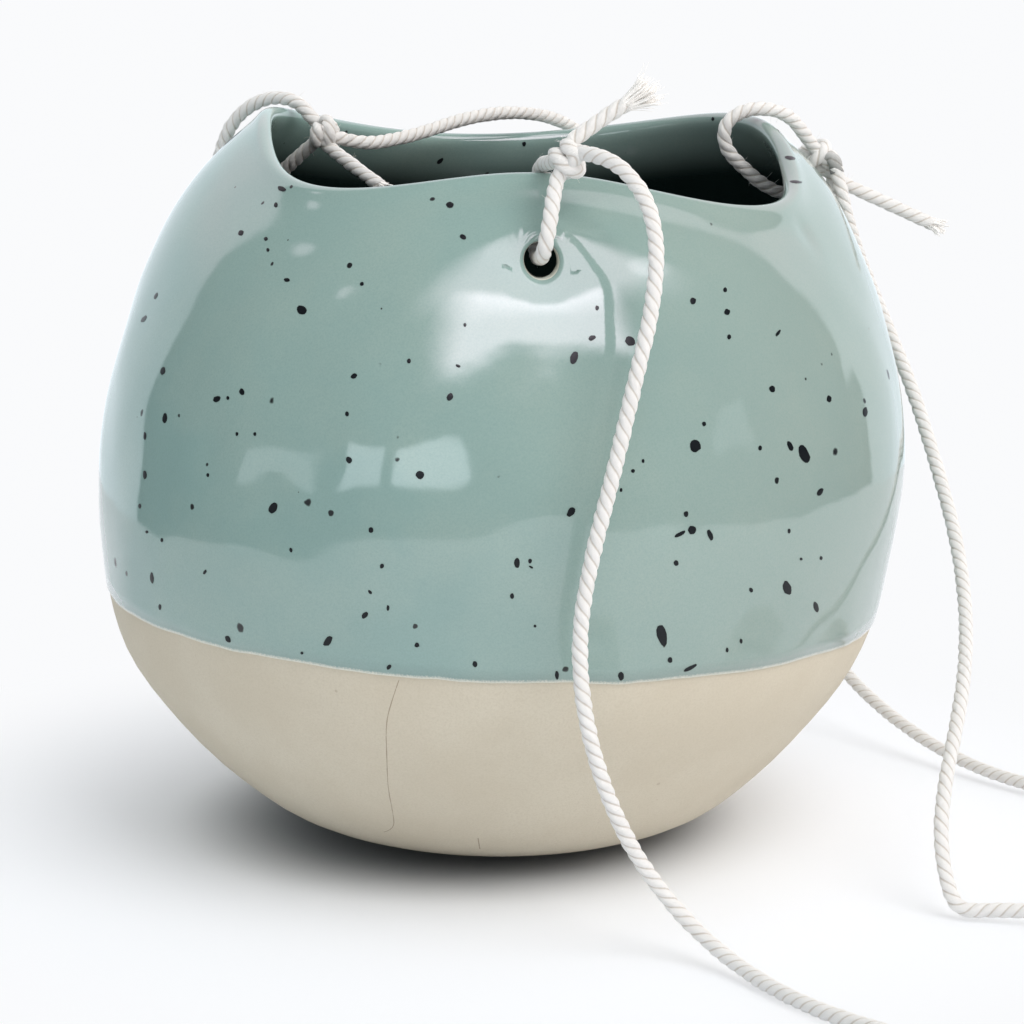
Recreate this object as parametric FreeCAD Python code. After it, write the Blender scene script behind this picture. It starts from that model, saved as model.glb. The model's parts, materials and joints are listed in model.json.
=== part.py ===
import FreeCAD
import Part

import math
import os

# Hanging planter, in millimetres, +Z up. The origin is the centre of the flat underside.
# A thrown bowl of pale clay closes in towards a wavy mouth that rises to three ears.
# A thin glassy glaze covers the inside, the rim and the upper part of the outside.
# A hole through each ear holds a twisted cotton cord, looped over the rim and knotted.

# Bowl: driving dimensions
FOOT_RADIUS = 30.0
BELLY_RADIUS = 91.2
POT_HEIGHT = 154.9
RIM_RADIUS = 59.2
WALL = 5.2
FLOOR = 6.5
RIM_ROLL = 1.0
GLAZE = 0.4

# Bowl: the outside from the underside up to the rim.
# Each row: share of the belly radius, share of the height, how far the row follows the
# rim's rise and fall, how far it swells at the ears, how far the hand-made wall leans,
# how far the row follows the mouth's own outline, and how far the right ear's flare.
OUTSIDE_SHARES = (
    (0.515, 0.027, 0.0, 0.0, 0.0, 0.0, 0.0),
    (0.615, 0.055, 0.0, 0.0, -0.3, 0.0, 0.0),
    (0.928, 0.252, 0.0, 0.0, -0.6, 0.0, 0.0),
    (0.975, 0.380, 0.0, 0.0, -0.6, 0.0, 0.0),
    (1.008, 0.570, 0.0, 0.1, 0.2, 0.0, 0.0),
    (0.942, 0.752, 0.1, 0.4, 0.7, 0.0, 0.0),
    (0.838, 0.888, 0.4, 1.0, 0.9, 0.0, 0.2),
    (0.737, 0.955, 0.8, 0.7, 1.3, 0.4, 0.7),
)
LIP_LEAN_SHARE = 1.4
LEAN = 2.4
EAR_SWELL = 2.6
ROWS_AROUND = 36

# Rim: waves around the mouth as (waves per turn, rise, turn of the first crest in degrees)
RIM_WAVES = (
    (1, 4.7, -148.1),
    (2, 2.4, -72.8),
    (3, 4.2, 6.9),
    (4, 1.3, 6.7),
)
# Mouth: its outline seen from above, as (waves per turn, reach, turn of the first crest)
MOUTH_WAVES = (
    (2, 1.8, 18.9),
    (3, 2.5, 58.5),
    (4, 2.7, -32.8),
)
# Right ear: its rim stands further out than the waves bring it, most at one turn in degrees
FLARE = 8.0
FLARE_TURN = 112.0
FLARE_SPREAD = 30.0
LIP_OUT = 2.3
LIP_IN = 2.6
LIP_DROP = 2.2

# Inside of the bowl: how high over the floor its wall starts, and where the floor turns up
WALL_START_SHARE = 2.2
FLOOR_EDGE_SHARE = 1.55

# Glaze line: height where the bare clay starts, and its fall over one belly radius to the right
DIP_HEIGHT = 54.6
DIP_FALL = 3.6
DIP_SPREAD = 240.0

# Ears: the turn of each hole about +Z, seen from above, with 0 at the front (-Y)
EAR_TURNS = {"front": 4.7, "left": -118.0, "right": 110.0}
HOLE_RADIUS = 3.5
HOLE_DROPS = {"front": 16.0, "left": 17.5, "right": 17.0}
HOLE_REACH = 20.0

# Cords: three strands of twisted cotton
CORD_DIAMETER = 3.0
KNOT_RADIUS = 4.3
KNOT_LENGTH = 9.0
KNOT_ROUNDING = 3.2
BEND_SHARE = 0.45
SHORTEST = 0.03

# Each knot: its centre from the hole's centre, and the way its length points.
# Points at an ear are (away from the pot's axis, to the right along the rim, up).
KNOTS = {
    "front": ((-2.6, 4.8, 19.8), (0.2, -0.3, 1.0)),
    "left": ((-25.0, 3.2, 12.8), (0.1, -0.1, 1.0)),
    "right": ((4.6, 5.6, 8.2), (0.6, 0.3, -0.8)),
}
# Each loop leaves its knot, goes down the outside, in through the hole and back over the rim.
LOOPS = {
    "front": (
        (-1.8, 3.8, 17.2), (2.0, 2.4, 12.8), (5.0, 1.4, 7.8), (5.4, 0.5, 3.2), (2.2, 0.2, 0.6),
        (-3.4, 0.0, 0.0), (-9.0, 0.1, -0.4), (-15.6, 0.3, 2.8), (-20.6, 0.7, 8.0), (-22.0, 1.2, 13.8),
        (-19.2, 2.0, 17.6), (-13.8, 3.0, 18.2), (-8.2, 4.2, 19.4), (-5.0, 4.7, 20.2),
    ),
    "left": (
        (-23.2, 3.4, 14.4), (-18.0, 2.6, 19.5), (-11.2, 1.8, 20.6), (-4.6, 1.8, 18.8), (1.2, 1.6, 14.4),
        (4.8, 1.0, 8.4), (6.6, 0.4, 2.8), (3.0, 0.2, -0.3), (-2.8, 0.0, -0.6), (-8.4, 0.2, 0.0),
        (-14.0, 2.4, 4.2), (-20.6, 4.0, 8.8), (-24.0, 4.2, 11.2),
    ),
    "right": (
        (2.6, 4.6, 10.8), (-1.0, 2.8, 14.4), (-5.2, 1.2, 18.2), (-11.4, 0.3, 20.0), (-17.4, 0.4, 19.6),
        (-22.0, 0.5, 16.4), (-21.6, 0.6, 11.0), (-17.2, 0.4, 6.6), (-11.6, 0.2, 2.0), (-5.6, 0.0, -0.4),
        (0.6, 0.2, -0.5), (5.9, 1.4, -0.1), (8.2, 3.6, 2.8), (7.0, 5.0, 5.8),
    ),
}
# Free ends beyond the knots, in the pot's own place.
TAILS = {
    "front": ((13.0, -71.0, 160.4), (18.4, -69.2, 164.2), (24.0, -68.0, 168.0), (31.2, -67.0, 171.6)),
    "left": ((-40.6, 18.6, 154.8), (-36.0, 14.6, 151.6), (-31.0, 10.2, 148.4), (-25.6, 5.0, 145.0)),
    "right": ((75.9, 32.6, 147.8), (81.0, 33.6, 144.2), (89.6, 34.4, 140.4), (104.8, 35.6, 133.4)),
}
# The long free lengths, from the knot to the coil that is put away beside the pot.
RUNS = {
    "front": (
        (16.5, -73.2, 159.2), (21.2, -78.0, 158.8), (26.2, -82.2, 155.0), (29.6, -85.4, 149.2),
        (30.9, -88.6, 141.0), (29.6, -92.2, 129.4), (26.8, -94.6, 118.4), (22.4, -96.8, 99.2),
        (18.2, -97.8, 83.0), (15.5, -98.8, 67.6), (16.4, -100.2, 52.4), (20.0, -101.0, 38.2),
        (25.6, -99.4, 24.6), (32.4, -98.2, 14.0), (39.6, -100.8, 6.4), (47.2, -109.6, 2.4),
        (54.6, -122.6, 1.8), (63.2, -134.6, 1.8), (73.6, -146.0, 2.6), (84.0, -157.0, 2.6),
    ),
    "left": (
        (-35.9, 20.6, 155.6), (-31.6, 22.6, 154.4), (-25.6, 28.0, 154.9), (-18.2, 35.4, 156.3),
        (-9.2, 45.2, 158.9), (0.8, 54.2, 160.0), (10.4, 63.0, 158.8), (18.0, 72.4, 155.2),
        (23.8, 81.6, 148.4), (29.8, 90.4, 136.6), (38.0, 97.4, 118.4), (48.6, 100.6, 94.0),
        (59.9, 99.6, 66.6), (70.0, 93.4, 43.6), (79.6, 83.0, 26.4), (88.6, 69.0, 15.4),
        (97.6, 54.0, 9.2), (106.8, 40.0, 5.2), (116.4, 26.8, 3.0), (127.0, 14.2, 2.6),
        (139.4, 4.2, 2.6),
    ),
    "right": (
        (78.2, 28.0, 148.4), (79.5, 26.6, 142.8), (81.3, 27.2, 135.6), (85.0, 28.4, 125.2),
        (90.8, 22.4, 111.0), (96.0, 15.0, 97.4), (100.2, 3.0, 81.6), (102.8, -12.0, 68.0),
        (103.2, -26.0, 54.8), (101.2, -39.0, 43.6), (97.8, -49.8, 34.0), (94.4, -59.4, 25.6),
        (92.6, -66.2, 16.4), (93.2, -71.0, 8.0), (95.4, -74.6, 2.0), (102.0, -75.8, 2.6),
        (111.6, -78.8, 3.4), (122.6, -84.0, 2.6), (132.4, -91.0, 2.6),
    ),
}

# Coils: the length put away, two turns in, a climb and two turns out again
COIL_RADIUS = 16.5
COIL_PITCH = 4.0
COIL_TURNS = 2
COIL_LIFT = 2.6
COIL_STEP = 3.6
COIL_SIDES = {"front": -1, "left": 1, "right": 1}
COIL_POINTS = 40

# Coil ties: a band around the bundle
TIE_BAND = 0.8
TIE_WIDTH = 5.0
TIE_GAP = 0.3
TIE_TURN = 90.0


def vector(x, y, z):
    return FreeCAD.Vector(x, y, z)


def wave_sum(waves, turn):
    """Sum of the waves at a turn in degrees about the pot's axis."""
    return sum(size * math.cos(math.radians(count * (turn - first))) for count, size, first in waves)


def rim_rise(turn):
    """Height of the rim above its mean."""
    return wave_sum(RIM_WAVES, turn)


def ear_share(turn):
    """1 at an ear and -1 half way between two ears."""
    count, _, first = RIM_WAVES[2]
    return math.cos(math.radians(count * (turn - first)))


def flare(turn):
    """How far the right ear's rim stands out at a turn."""
    away = (turn - FLARE_TURN + 180) % 360 - 180
    return FLARE * math.exp(-(away / FLARE_SPREAD) ** 2)


def outside_rows(turn):
    """(radius, height, lean) of the outside at a turn, from the foot's edge to below the rim."""
    rows = [(FOOT_RADIUS, 0.0, 0.0)]
    for radius, height, follow, swell, lean, mouth, flared in OUTSIDE_SHARES:
        spread = swell * EAR_SWELL * ear_share(turn) + mouth * wave_sum(MOUTH_WAVES, turn)
        rows.append((
            radius * BELLY_RADIUS + spread + flared * flare(turn),
            height * POT_HEIGHT + follow * rim_rise(turn),
            lean * LEAN,
        ))
    return rows


def lip_rows(turn):
    """The rounded top edge of the wall, from outside to inside."""
    top = POT_HEIGHT + rim_rise(turn)
    middle = RIM_RADIUS + wave_sum(MOUTH_WAVES, turn) + flare(turn)
    lean = LIP_LEAN_SHARE * LEAN
    return [
        (middle + LIP_OUT, top - LIP_DROP, lean),
        (middle + RIM_ROLL, top, lean),
        (middle - RIM_ROLL, top, lean),
        (middle - LIP_IN, top - LIP_DROP, lean),
    ]


def shifted(rows, amount):
    """Rows moved square to their own line, to the left of the direction they run in."""
    moved = []
    for index, (radius, height, lean) in enumerate(rows):
        before = rows[max(index - 1, 0)]
        after = rows[min(index + 1, len(rows) - 1)]
        along = (after[0] - before[0], after[1] - before[1])
        size = math.hypot(*along)
        moved.append((radius - amount * along[1] / size, height + amount * along[0] / size, lean))
    return moved


def profile(turn, skin):
    """All rows of the wall, up the outside, over the rim and down the inside to the floor."""
    outside = outside_rows(turn)
    inside = shifted(outside, WALL)[::-1]
    inside = [row for row in inside if row[1] > WALL_START_SHARE * FLOOR]
    bowl = outside + lip_rows(turn) + inside
    if skin:
        bowl = shifted(bowl, -skin)
        bowl[0] = (FOOT_RADIUS + skin, -skin, 0.0)
    floor = [
        (FOOT_RADIUS * FLOOR_EDGE_SHARE, FLOOR + skin, 0.0),
        (FOOT_RADIUS, FLOOR + skin, 0.0),
    ]
    return bowl + floor


def knots_and_mults(count, degree):
    inner = count - degree
    knots = [index / inner for index in range(inner + 1)]
    mults = [degree + 1] + [1] * (inner - 1) + [degree + 1]
    return knots, mults


def bowl_solid(skin=0.0):
    """Solid inside one smooth surface that runs over the rim, closed by two flat discs."""
    degree = 3
    pull = (2 + math.cos(math.tau / ROWS_AROUND)) / 3
    poles = []
    for step in range(ROWS_AROUND):
        turn = 360.0 * step / ROWS_AROUND
        angle = math.radians(turn)
        poles.append([
            vector(lean + radius / pull * math.sin(angle), -radius / pull * math.cos(angle), height)
            for radius, height, lean in profile(turn, skin)
        ])
    up_knots, up_mults = knots_and_mults(len(poles[0]), degree)
    around_knots = [step / ROWS_AROUND for step in range(ROWS_AROUND + 1)]
    surface = Part.BSplineSurface()
    surface.buildFromPolesMultsKnots(
        poles, [1] * (ROWS_AROUND + 1), up_mults, around_knots, up_knots, True, False, degree, degree,
    )
    side = surface.toShape()
    rings = [edge for edge in side.Edges if edge.BoundBox.ZLength < SHORTEST]
    discs = [Part.Face(Part.Wire([edge])) for edge in rings]
    shell = Part.makeShell([side] + discs)
    shell.sewShape()
    solid = Part.Solid(shell)
    if solid.Volume < 0:
        solid.reverse()
    return solid


def ear_frame(name, bowl):
    """Hole centre in the middle of the wall, and the directions out, right and up."""
    turn = EAR_TURNS[name]
    angle = math.radians(turn)
    outward = vector(math.sin(angle), -math.cos(angle), 0)
    sideways = vector(math.cos(angle), math.sin(angle), 0)
    height = POT_HEIGHT + rim_rise(turn) - HOLE_DROPS[name]
    axis = vector(LEAN * OUTSIDE_SHARES[-2][4], 0, height)
    ray = Part.makeLine(axis, axis + outward * 2 * BELLY_RADIUS)
    wall = ray.common(bowl).Edges[0]
    middle = (wall.Vertexes[0].Point + wall.Vertexes[-1].Point) * 0.5
    return middle, outward, sideways


def hole_tool(frame):
    middle, outward, _ = frame
    return Part.makeCylinder(HOLE_RADIUS, 2 * HOLE_REACH, middle - outward * HOLE_REACH, outward)


def dip_tool():
    """Everything below the glaze line, which slopes down to the right."""
    slope = math.degrees(math.atan(DIP_FALL / BELLY_RADIUS))
    depth = POT_HEIGHT
    block = Part.makeBox(DIP_SPREAD, DIP_SPREAD, depth, vector(-DIP_SPREAD / 2, -DIP_SPREAD / 2, -depth))
    block.rotate(vector(0, 0, 0), vector(0, 1, 0), slope)
    block.translate(vector(0, 0, DIP_HEIGHT))
    return block


def glaze_solid(bowl):
    """The skin over the rim and the inside, with the outside bare below the dip."""
    skin = bowl_solid(GLAZE).cut(bowl)
    block = dip_tool()
    upper = skin.cut(block)
    lower = skin.common(block).Solids
    lining = min(lower, key=lambda piece: piece.BoundBox.XLength)
    return upper.fuse(lining).removeSplitter()


def bend_points(points):
    """Straight runs joined by tangent arcs, as a wire, and the arcs' radii."""
    corners = []
    for before, here, after in zip(points, points[1:], points[2:]):
        back, ahead = before - here, after - here
        reach = BEND_SHARE * min(back.Length, ahead.Length)
        turn = math.pi - back.getAngle(ahead)
        radius = reach / math.tan(turn / 2)
        middle = back / back.Length + ahead / ahead.Length
        middle = middle / middle.Length
        crown = here + middle * (radius / math.cos(turn / 2) - radius)
        corners.append((here + back / back.Length * reach, crown, here + ahead / ahead.Length * reach, radius))
    edges = []
    at = points[0]
    for start, crown, end, _ in corners:
        edges.append(Part.LineSegment(at, start).toShape())
        edges.append(Part.Arc(start, crown, end).toShape())
        at = end
    edges.append(Part.LineSegment(at, points[-1]).toShape())
    return Part.Wire(edges), [corner[3] for corner in corners]


def tube(wire, diameter):
    """Round solid along a wire."""
    start = wire.Edges[0]
    first = start.Vertexes[0].Point
    direction = start.tangentAt(start.FirstParameter)
    circle = Part.Wire([Part.makeCircle(diameter / 2, first, direction)])
    return wire.makePipeShell([circle], True, False)


def report(name, solid, wire, radii, diameter):
    expected = math.pi * diameter ** 2 / 4 * wire.Length
    least = f"{min(radii):.1f}" if radii else "none"
    ratio = solid.Volume / expected
    print(f"{name}: {wire.Length:.0f} mm long, tightest bend {least} mm, volume {ratio:.3f} of section x length")


def cord_tube(name, points):
    wire, radii = bend_points(points)
    solid = tube(wire, CORD_DIAMETER)
    report(name, solid, wire, radii, CORD_DIAMETER)
    return solid


def placed(frame, points):
    """Points given from the hole's centre, in the pot's own place."""
    middle, outward, sideways = frame
    return [middle + outward * out + sideways * right + vector(0, 0, up) for out, right, up in points]


def knot_solid(centre, direction):
    """A rounded barrel, the outer shape of the knot."""
    start = centre - direction * (KNOT_LENGTH / 2)
    barrel = Part.makeCylinder(KNOT_RADIUS, KNOT_LENGTH, start, direction)
    return barrel.makeFillet(KNOT_ROUNDING, [edge for edge in barrel.Edges if edge.Curve.TypeId == "Part::GeomCircle"])


def arc_from(start, direction, end):
    """Arc that leaves start along direction and reaches end."""
    chord = end - start
    across = chord - direction * chord.dot(direction)
    if across.Length < SHORTEST / 10:
        return Part.LineSegment(start, end).toShape()
    half = direction.getAngle(chord)
    across = across / across.Length
    radius = chord.Length / (2 * math.sin(half))
    centre = start + across * radius
    crown_way = start - centre + end - centre
    crown = centre + crown_way / crown_way.Length * radius
    return Part.Arc(start, crown, end).toShape()


def biarc(start, leave, end, arrive):
    """Two arcs that join two points with given directions."""
    chord = end - start
    both = leave + arrive
    spread = 2 * (1 - leave.dot(arrive))
    part = chord.dot(both)
    reach = (-part + math.sqrt(part * part + spread * chord.dot(chord))) / spread
    joint = (start + leave * reach + end - arrive * reach) * 0.5
    first = arc_from(start, leave, joint)
    last = arc_from(end, arrive * -1, joint)
    crown = last.valueAt((last.FirstParameter + last.LastParameter) / 2)
    return [first, Part.Arc(joint, crown, end).toShape()]


def coil_stations():
    """(turn in quarters, radius, height, radius slope, height slope) at each quarter turn."""
    stations = []
    quarters = 4 * COIL_TURNS
    inner = COIL_RADIUS - COIL_PITCH * COIL_TURNS / 2
    slope = COIL_PITCH / math.tau
    for step in range(quarters + 1):
        radius = inner + COIL_PITCH * (quarters - step) / 4
        stations.append((step, radius, 0.0, -slope if step < quarters else 0.0, 0.0))
    climb = 1.5 * COIL_STEP / math.pi
    stations.append((quarters + 1, inner, COIL_STEP / 2, 0.0, climb))
    for step in range(quarters + 1):
        radius = inner + COIL_PITCH * step / 4
        stations.append((quarters + 2 + step, radius, COIL_STEP, slope if step else 0.0, 0.0))
    return stations


def coil_wire(start, direction, side):
    """Path of a coil that leaves start along direction and turns to one side."""
    across = vector(-direction.y, direction.x, 0) * side
    lead = direction * CORD_DIAMETER
    stations = coil_stations()
    centre = start + lead + across * stations[0][1]
    points, ways = [], []
    for step, radius, height, radius_slope, height_slope in stations:
        angle = math.pi / 2 * step
        spoke = across * -math.cos(angle) + direction * math.sin(angle)
        round_way = across * math.sin(angle) + direction * math.cos(angle)
        way = round_way * radius + spoke * radius_slope + vector(0, 0, height_slope)
        points.append(centre + spoke * radius + vector(0, 0, height))
        ways.append(way / way.Length)
    ways[0] = direction
    edges = [Part.LineSegment(start, start + lead).toShape()]
    for index in range(len(points) - 1):
        edges += biarc(points[index], ways[index], points[index + 1], ways[index + 1])
    end = points[-1]
    edges.append(Part.LineSegment(end, end + ways[-1] * CORD_DIAMETER).toShape())
    return Part.Wire(edges), centre


def least_gap(wire, diameter):
    """Smallest clear distance between one turn and another, measured on points."""
    points = wire.discretize(Number=COIL_POINTS * 2 * COIL_TURNS)
    step = wire.Length / (len(points) - 1)
    apart = int(math.pi * (COIL_RADIUS - COIL_PITCH) / step)
    least = min(
        (points[first] - points[second]).Length
        for first in range(len(points)) for second in range(first + apart, len(points))
    )
    return least - diameter


def coil_tie(centre, direction, side):
    """Flat band around the coil's bundle, at one turn."""
    inner = COIL_RADIUS - COIL_PITCH * COIL_TURNS / 2 - CORD_DIAMETER / 2 - TIE_GAP
    outer = COIL_RADIUS + COIL_PITCH * COIL_TURNS / 2 + CORD_DIAMETER / 2 + TIE_GAP
    height = COIL_STEP + CORD_DIAMETER + 2 * TIE_GAP
    bottom = COIL_LIFT - CORD_DIAMETER / 2 - TIE_GAP
    solid = Part.makeBox(
        outer - inner + 2 * TIE_BAND, TIE_WIDTH, height + 2 * TIE_BAND,
        vector(inner - TIE_BAND, -TIE_WIDTH / 2, bottom - TIE_BAND),
    )
    hollow = Part.makeBox(
        outer - inner, 2 * TIE_WIDTH, height, vector(inner, -TIE_WIDTH, bottom),
    )
    ring = solid.cut(hollow)
    across = vector(-direction.y, direction.x, 0) * side
    way = math.degrees(math.atan2(-across.y, -across.x)) - side * TIE_TURN
    ring.rotate(vector(0, 0, 0), vector(0, 0, 1), way)
    ring.translate(vector(centre.x, centre.y, 0))
    return ring


def build_pot():
    bowl = bowl_solid()
    frames = {name: ear_frame(name, bowl) for name in EAR_TURNS}
    glaze = glaze_solid(bowl)
    for frame in frames.values():
        bowl = bowl.cut(hole_tool(frame))
        glaze = glaze.cut(hole_tool(frame))
    return bowl, glaze, frames


def build_cord(name, frame):
    """The five pieces of one cord and the tie around its coil."""
    knot_centre, knot_end = KNOTS[name]
    knot_end = [at + reach for at, reach in zip(knot_centre, knot_end)]
    knot_centre, knot_end = placed(frame, (knot_centre, knot_end))
    knot_way = knot_end - knot_centre
    pieces = {
        "cord_loop": cord_tube(f"{name}_cord_loop", placed(frame, LOOPS[name])),
        "cord_knot": knot_solid(knot_centre, knot_way / knot_way.Length),
        "cord_tail": cord_tube(f"{name}_cord_tail", [vector(*point) for point in TAILS[name]]),
    }
    run = [vector(*point) for point in RUNS[name]]
    pieces["cord_run"] = cord_tube(f"{name}_cord_run", run)
    direction = run[-1] - run[-2]
    direction = vector(direction.x, direction.y, 0)
    direction = direction / direction.Length
    wire, centre = coil_wire(run[-1], direction, COIL_SIDES[name])
    coil = tube(wire, CORD_DIAMETER)
    report(f"{name}_cord_coil", coil, wire, [], CORD_DIAMETER)
    print(f"{name}_cord_coil: least gap between turns {least_gap(wire, CORD_DIAMETER):.2f} mm")
    pieces["cord_coil"] = coil
    pieces["coil_tie"] = coil_tie(centre, direction, COIL_SIDES[name])
    return {f"{name}_{piece}": solid for piece, solid in pieces.items()}


def main():
    os.makedirs("parts", exist_ok=True)
    bowl, glaze, frames = build_pot()
    nodes = {"clay_body": bowl, "glaze_coat": glaze}
    for name, frame in frames.items():
        nodes.update(build_cord(name, frame))
        print(f"{name} hole centre {tuple(round(value, 2) for value in frame[0])}")
    for name, shape in nodes.items():
        solid = shape.Solids[0] if len(shape.Solids) == 1 else shape
        print(f"{name}: valid {solid.isValid()}, solids {len(shape.Solids)}, volume {solid.Volume:.0f} mm3")
        solid.exportStep(f"parts/{name}.step")


main()
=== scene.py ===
# %% [markdown]
# # A hanging planter, built in Blender
# A hand-made bowl of pale clay wears a sage green glaze on its upper part and inside. Its wavy
# mouth rises to three ears, and a twisted cotton cord is looped through the hole in each ear,
# knotted, and let down over the side. This file builds that planter piece by piece, around the
# measured frame that the joints and the collision shapes use.

# %% Load the measured frame
import json
import math
import random

import bmesh
import bpy
from mathutils import Matrix, Vector, noise
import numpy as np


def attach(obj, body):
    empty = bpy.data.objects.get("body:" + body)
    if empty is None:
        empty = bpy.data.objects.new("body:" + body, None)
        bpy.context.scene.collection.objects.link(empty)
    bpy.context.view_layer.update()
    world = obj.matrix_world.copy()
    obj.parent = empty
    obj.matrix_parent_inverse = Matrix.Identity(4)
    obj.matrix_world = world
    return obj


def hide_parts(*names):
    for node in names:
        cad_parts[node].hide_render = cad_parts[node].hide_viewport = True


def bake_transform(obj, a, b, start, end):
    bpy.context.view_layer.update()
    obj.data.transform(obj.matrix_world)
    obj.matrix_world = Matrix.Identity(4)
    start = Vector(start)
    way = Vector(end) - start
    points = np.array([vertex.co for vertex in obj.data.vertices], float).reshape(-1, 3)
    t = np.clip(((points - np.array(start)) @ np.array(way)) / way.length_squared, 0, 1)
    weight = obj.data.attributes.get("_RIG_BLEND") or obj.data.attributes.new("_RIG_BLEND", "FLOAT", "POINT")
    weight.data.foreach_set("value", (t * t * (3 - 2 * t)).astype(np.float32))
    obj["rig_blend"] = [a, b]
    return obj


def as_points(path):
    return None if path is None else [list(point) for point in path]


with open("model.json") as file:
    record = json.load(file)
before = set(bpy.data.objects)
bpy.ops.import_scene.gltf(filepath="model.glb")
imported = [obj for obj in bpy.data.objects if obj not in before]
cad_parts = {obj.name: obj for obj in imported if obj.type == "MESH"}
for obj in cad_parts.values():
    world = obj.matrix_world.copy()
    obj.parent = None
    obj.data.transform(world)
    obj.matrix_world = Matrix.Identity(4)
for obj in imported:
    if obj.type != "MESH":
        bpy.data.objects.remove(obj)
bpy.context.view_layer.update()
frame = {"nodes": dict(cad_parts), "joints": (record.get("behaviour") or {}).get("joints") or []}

MM = 0.001
scene = bpy.context.scene
ties = {joint["name"].split("_")[0]: joint for joint in frame["joints"]}
print("ears:", ", ".join(sorted(ties)), "- nodes:", len(frame["nodes"]))

# %% [markdown]
# ## The camera
# The photograph looks at the planter from a little above the mouth, about two thirds of a metre
# away, through a long lens. A camera could be aimed with a constraint, but a plain place and one
# turn about X are easier to read: the bowl was set up so that the view runs straight along +Y.

# %% Camera
CAMERA_PLACE = Vector((0.0025, -0.652, 0.2007))
CAMERA_DOWN = math.radians(11.158)
LENS_PIXELS = 2900.0
PICTURE_PIXELS = 1024.0
SENSOR_MM = 36.0

camera_data = bpy.data.cameras.new("camera")
camera_data.sensor_width = SENSOR_MM
camera_data.lens = SENSOR_MM * LENS_PIXELS / PICTURE_PIXELS
camera = bpy.data.objects.new("camera", camera_data)
camera.location = CAMERA_PLACE
camera.rotation_euler = (math.pi / 2 - CAMERA_DOWN, 0, 0)
scene.collection.objects.link(camera)
scene.camera = camera


def view_ray(across, down):
    """Direction from the camera through a place in the picture, given in pixels."""
    flat = Vector((across - PICTURE_PIXELS / 2, PICTURE_PIXELS / 2 - down, -LENS_PIXELS))
    flat.rotate(Matrix.Rotation(math.pi / 2 - CAMERA_DOWN, 3, "X"))
    return flat.normalized()


print(f"lens {camera_data.lens:.1f} mm")

# %% [markdown]
# ## The routes of the cords
# Each cord leaves its knot, hangs down beside the bowl and runs away over the table. What lies
# outside the picture is wound into a small round coil. A route is a list of control points, and
# a NURBS curve of order 3 draws a smooth line near them, as a limp cord lies. The curve could be
# given a bevel, but a twisted cord needs its own surface, so only the line is taken from it.

# %% Routes, in millimetres
CORD = 3.0
RUNS = {
    "front": (
        (16.5, -73.2, 159.2), (21.2, -78.0, 158.8), (26.2, -82.2, 155.0), (29.6, -85.4, 149.2),
        (30.9, -88.6, 141.0), (29.6, -92.2, 129.4), (26.8, -94.6, 118.4), (22.4, -96.8, 99.2),
        (18.2, -97.8, 83.0), (15.5, -98.8, 67.6), (16.4, -100.2, 52.4), (20.0, -101.0, 38.2),
        (25.6, -99.4, 24.6), (32.4, -98.2, 14.0), (39.6, -100.8, 6.4), (47.2, -109.6, 2.4),
        (54.6, -122.6, 1.8), (63.2, -134.6, 1.8), (73.6, -146.0, 2.6), (84.0, -157.0, 2.6),
    ),
    "left": (
        (-35.9, 20.6, 155.6), (-31.6, 22.6, 154.4), (-25.6, 28.0, 154.9), (-18.2, 35.4, 156.3),
        (-9.2, 45.2, 158.9), (0.8, 54.2, 160.0), (10.4, 63.0, 158.8), (18.0, 72.4, 155.2),
        (23.8, 81.6, 148.4), (29.8, 90.4, 136.6), (38.0, 97.4, 118.4), (48.6, 100.6, 94.0),
        (59.9, 99.6, 66.6), (70.0, 93.4, 43.6), (79.6, 83.0, 26.4), (88.6, 69.0, 15.4),
        (97.6, 54.0, 9.2), (106.8, 40.0, 5.2), (116.4, 26.8, 3.0), (127.0, 14.2, 2.6),
        (139.4, 4.2, 2.6),
    ),
    "right": (
        (78.2, 28.0, 148.4), (79.5, 26.6, 142.8), (81.3, 27.2, 135.6), (85.0, 28.4, 125.2),
        (90.8, 22.4, 111.0), (96.0, 15.0, 97.4), (100.2, 3.0, 81.6), (102.8, -12.0, 68.0),
        (103.2, -26.0, 54.8), (101.2, -39.0, 43.6), (97.8, -49.8, 34.0), (94.4, -59.4, 25.6),
        (92.6, -66.2, 16.4), (93.2, -71.0, 8.0), (95.4, -74.6, 2.0), (102.0, -75.8, 2.6),
        (111.6, -78.8, 3.4), (122.6, -84.0, 2.6), (132.4, -91.0, 2.6),
    ),
}
COIL_SIDES = {"front": -1, "left": 1, "right": 1}
COIL_MIDDLE = 16.5
COIL_PITCH = 4.0
COIL_STEP = 3.6
COIL_TURNS = 2
CLIMB_TURNS = 0.5
COIL_POINTS = 16
COIL_INNER = COIL_MIDDLE - COIL_PITCH * COIL_TURNS / 2
COIL_OUTER = COIL_MIDDLE + COIL_PITCH * COIL_TURNS / 2


def coil_points(start, way, side):
    """Two turns winding inwards, half a turn of climb, and two turns winding out on top."""
    across = Vector((-way.y, way.x, 0)) * side
    centre = start + way * CORD + across * COIL_OUTER
    # The curve runs a little inside its control points, so they lie further out by this share
    pull = math.cos(math.pi / COIL_POINTS)
    points = []
    for step in range(int(COIL_POINTS * (2 * COIL_TURNS + CLIMB_TURNS)) + 1):
        turns = step / COIL_POINTS
        climb = min(max((turns - COIL_TURNS) / CLIMB_TURNS, 0), 1)
        grow = max(COIL_TURNS - turns, turns - COIL_TURNS - CLIMB_TURNS, 0)
        radius = (COIL_INNER + COIL_PITCH * grow) / pull
        spoke = way * math.sin(math.tau * turns) - across * math.cos(math.tau * turns)
        points.append(centre + spoke * radius + Vector((0, 0, COIL_STEP * climb)))
    return points, centre


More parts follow.
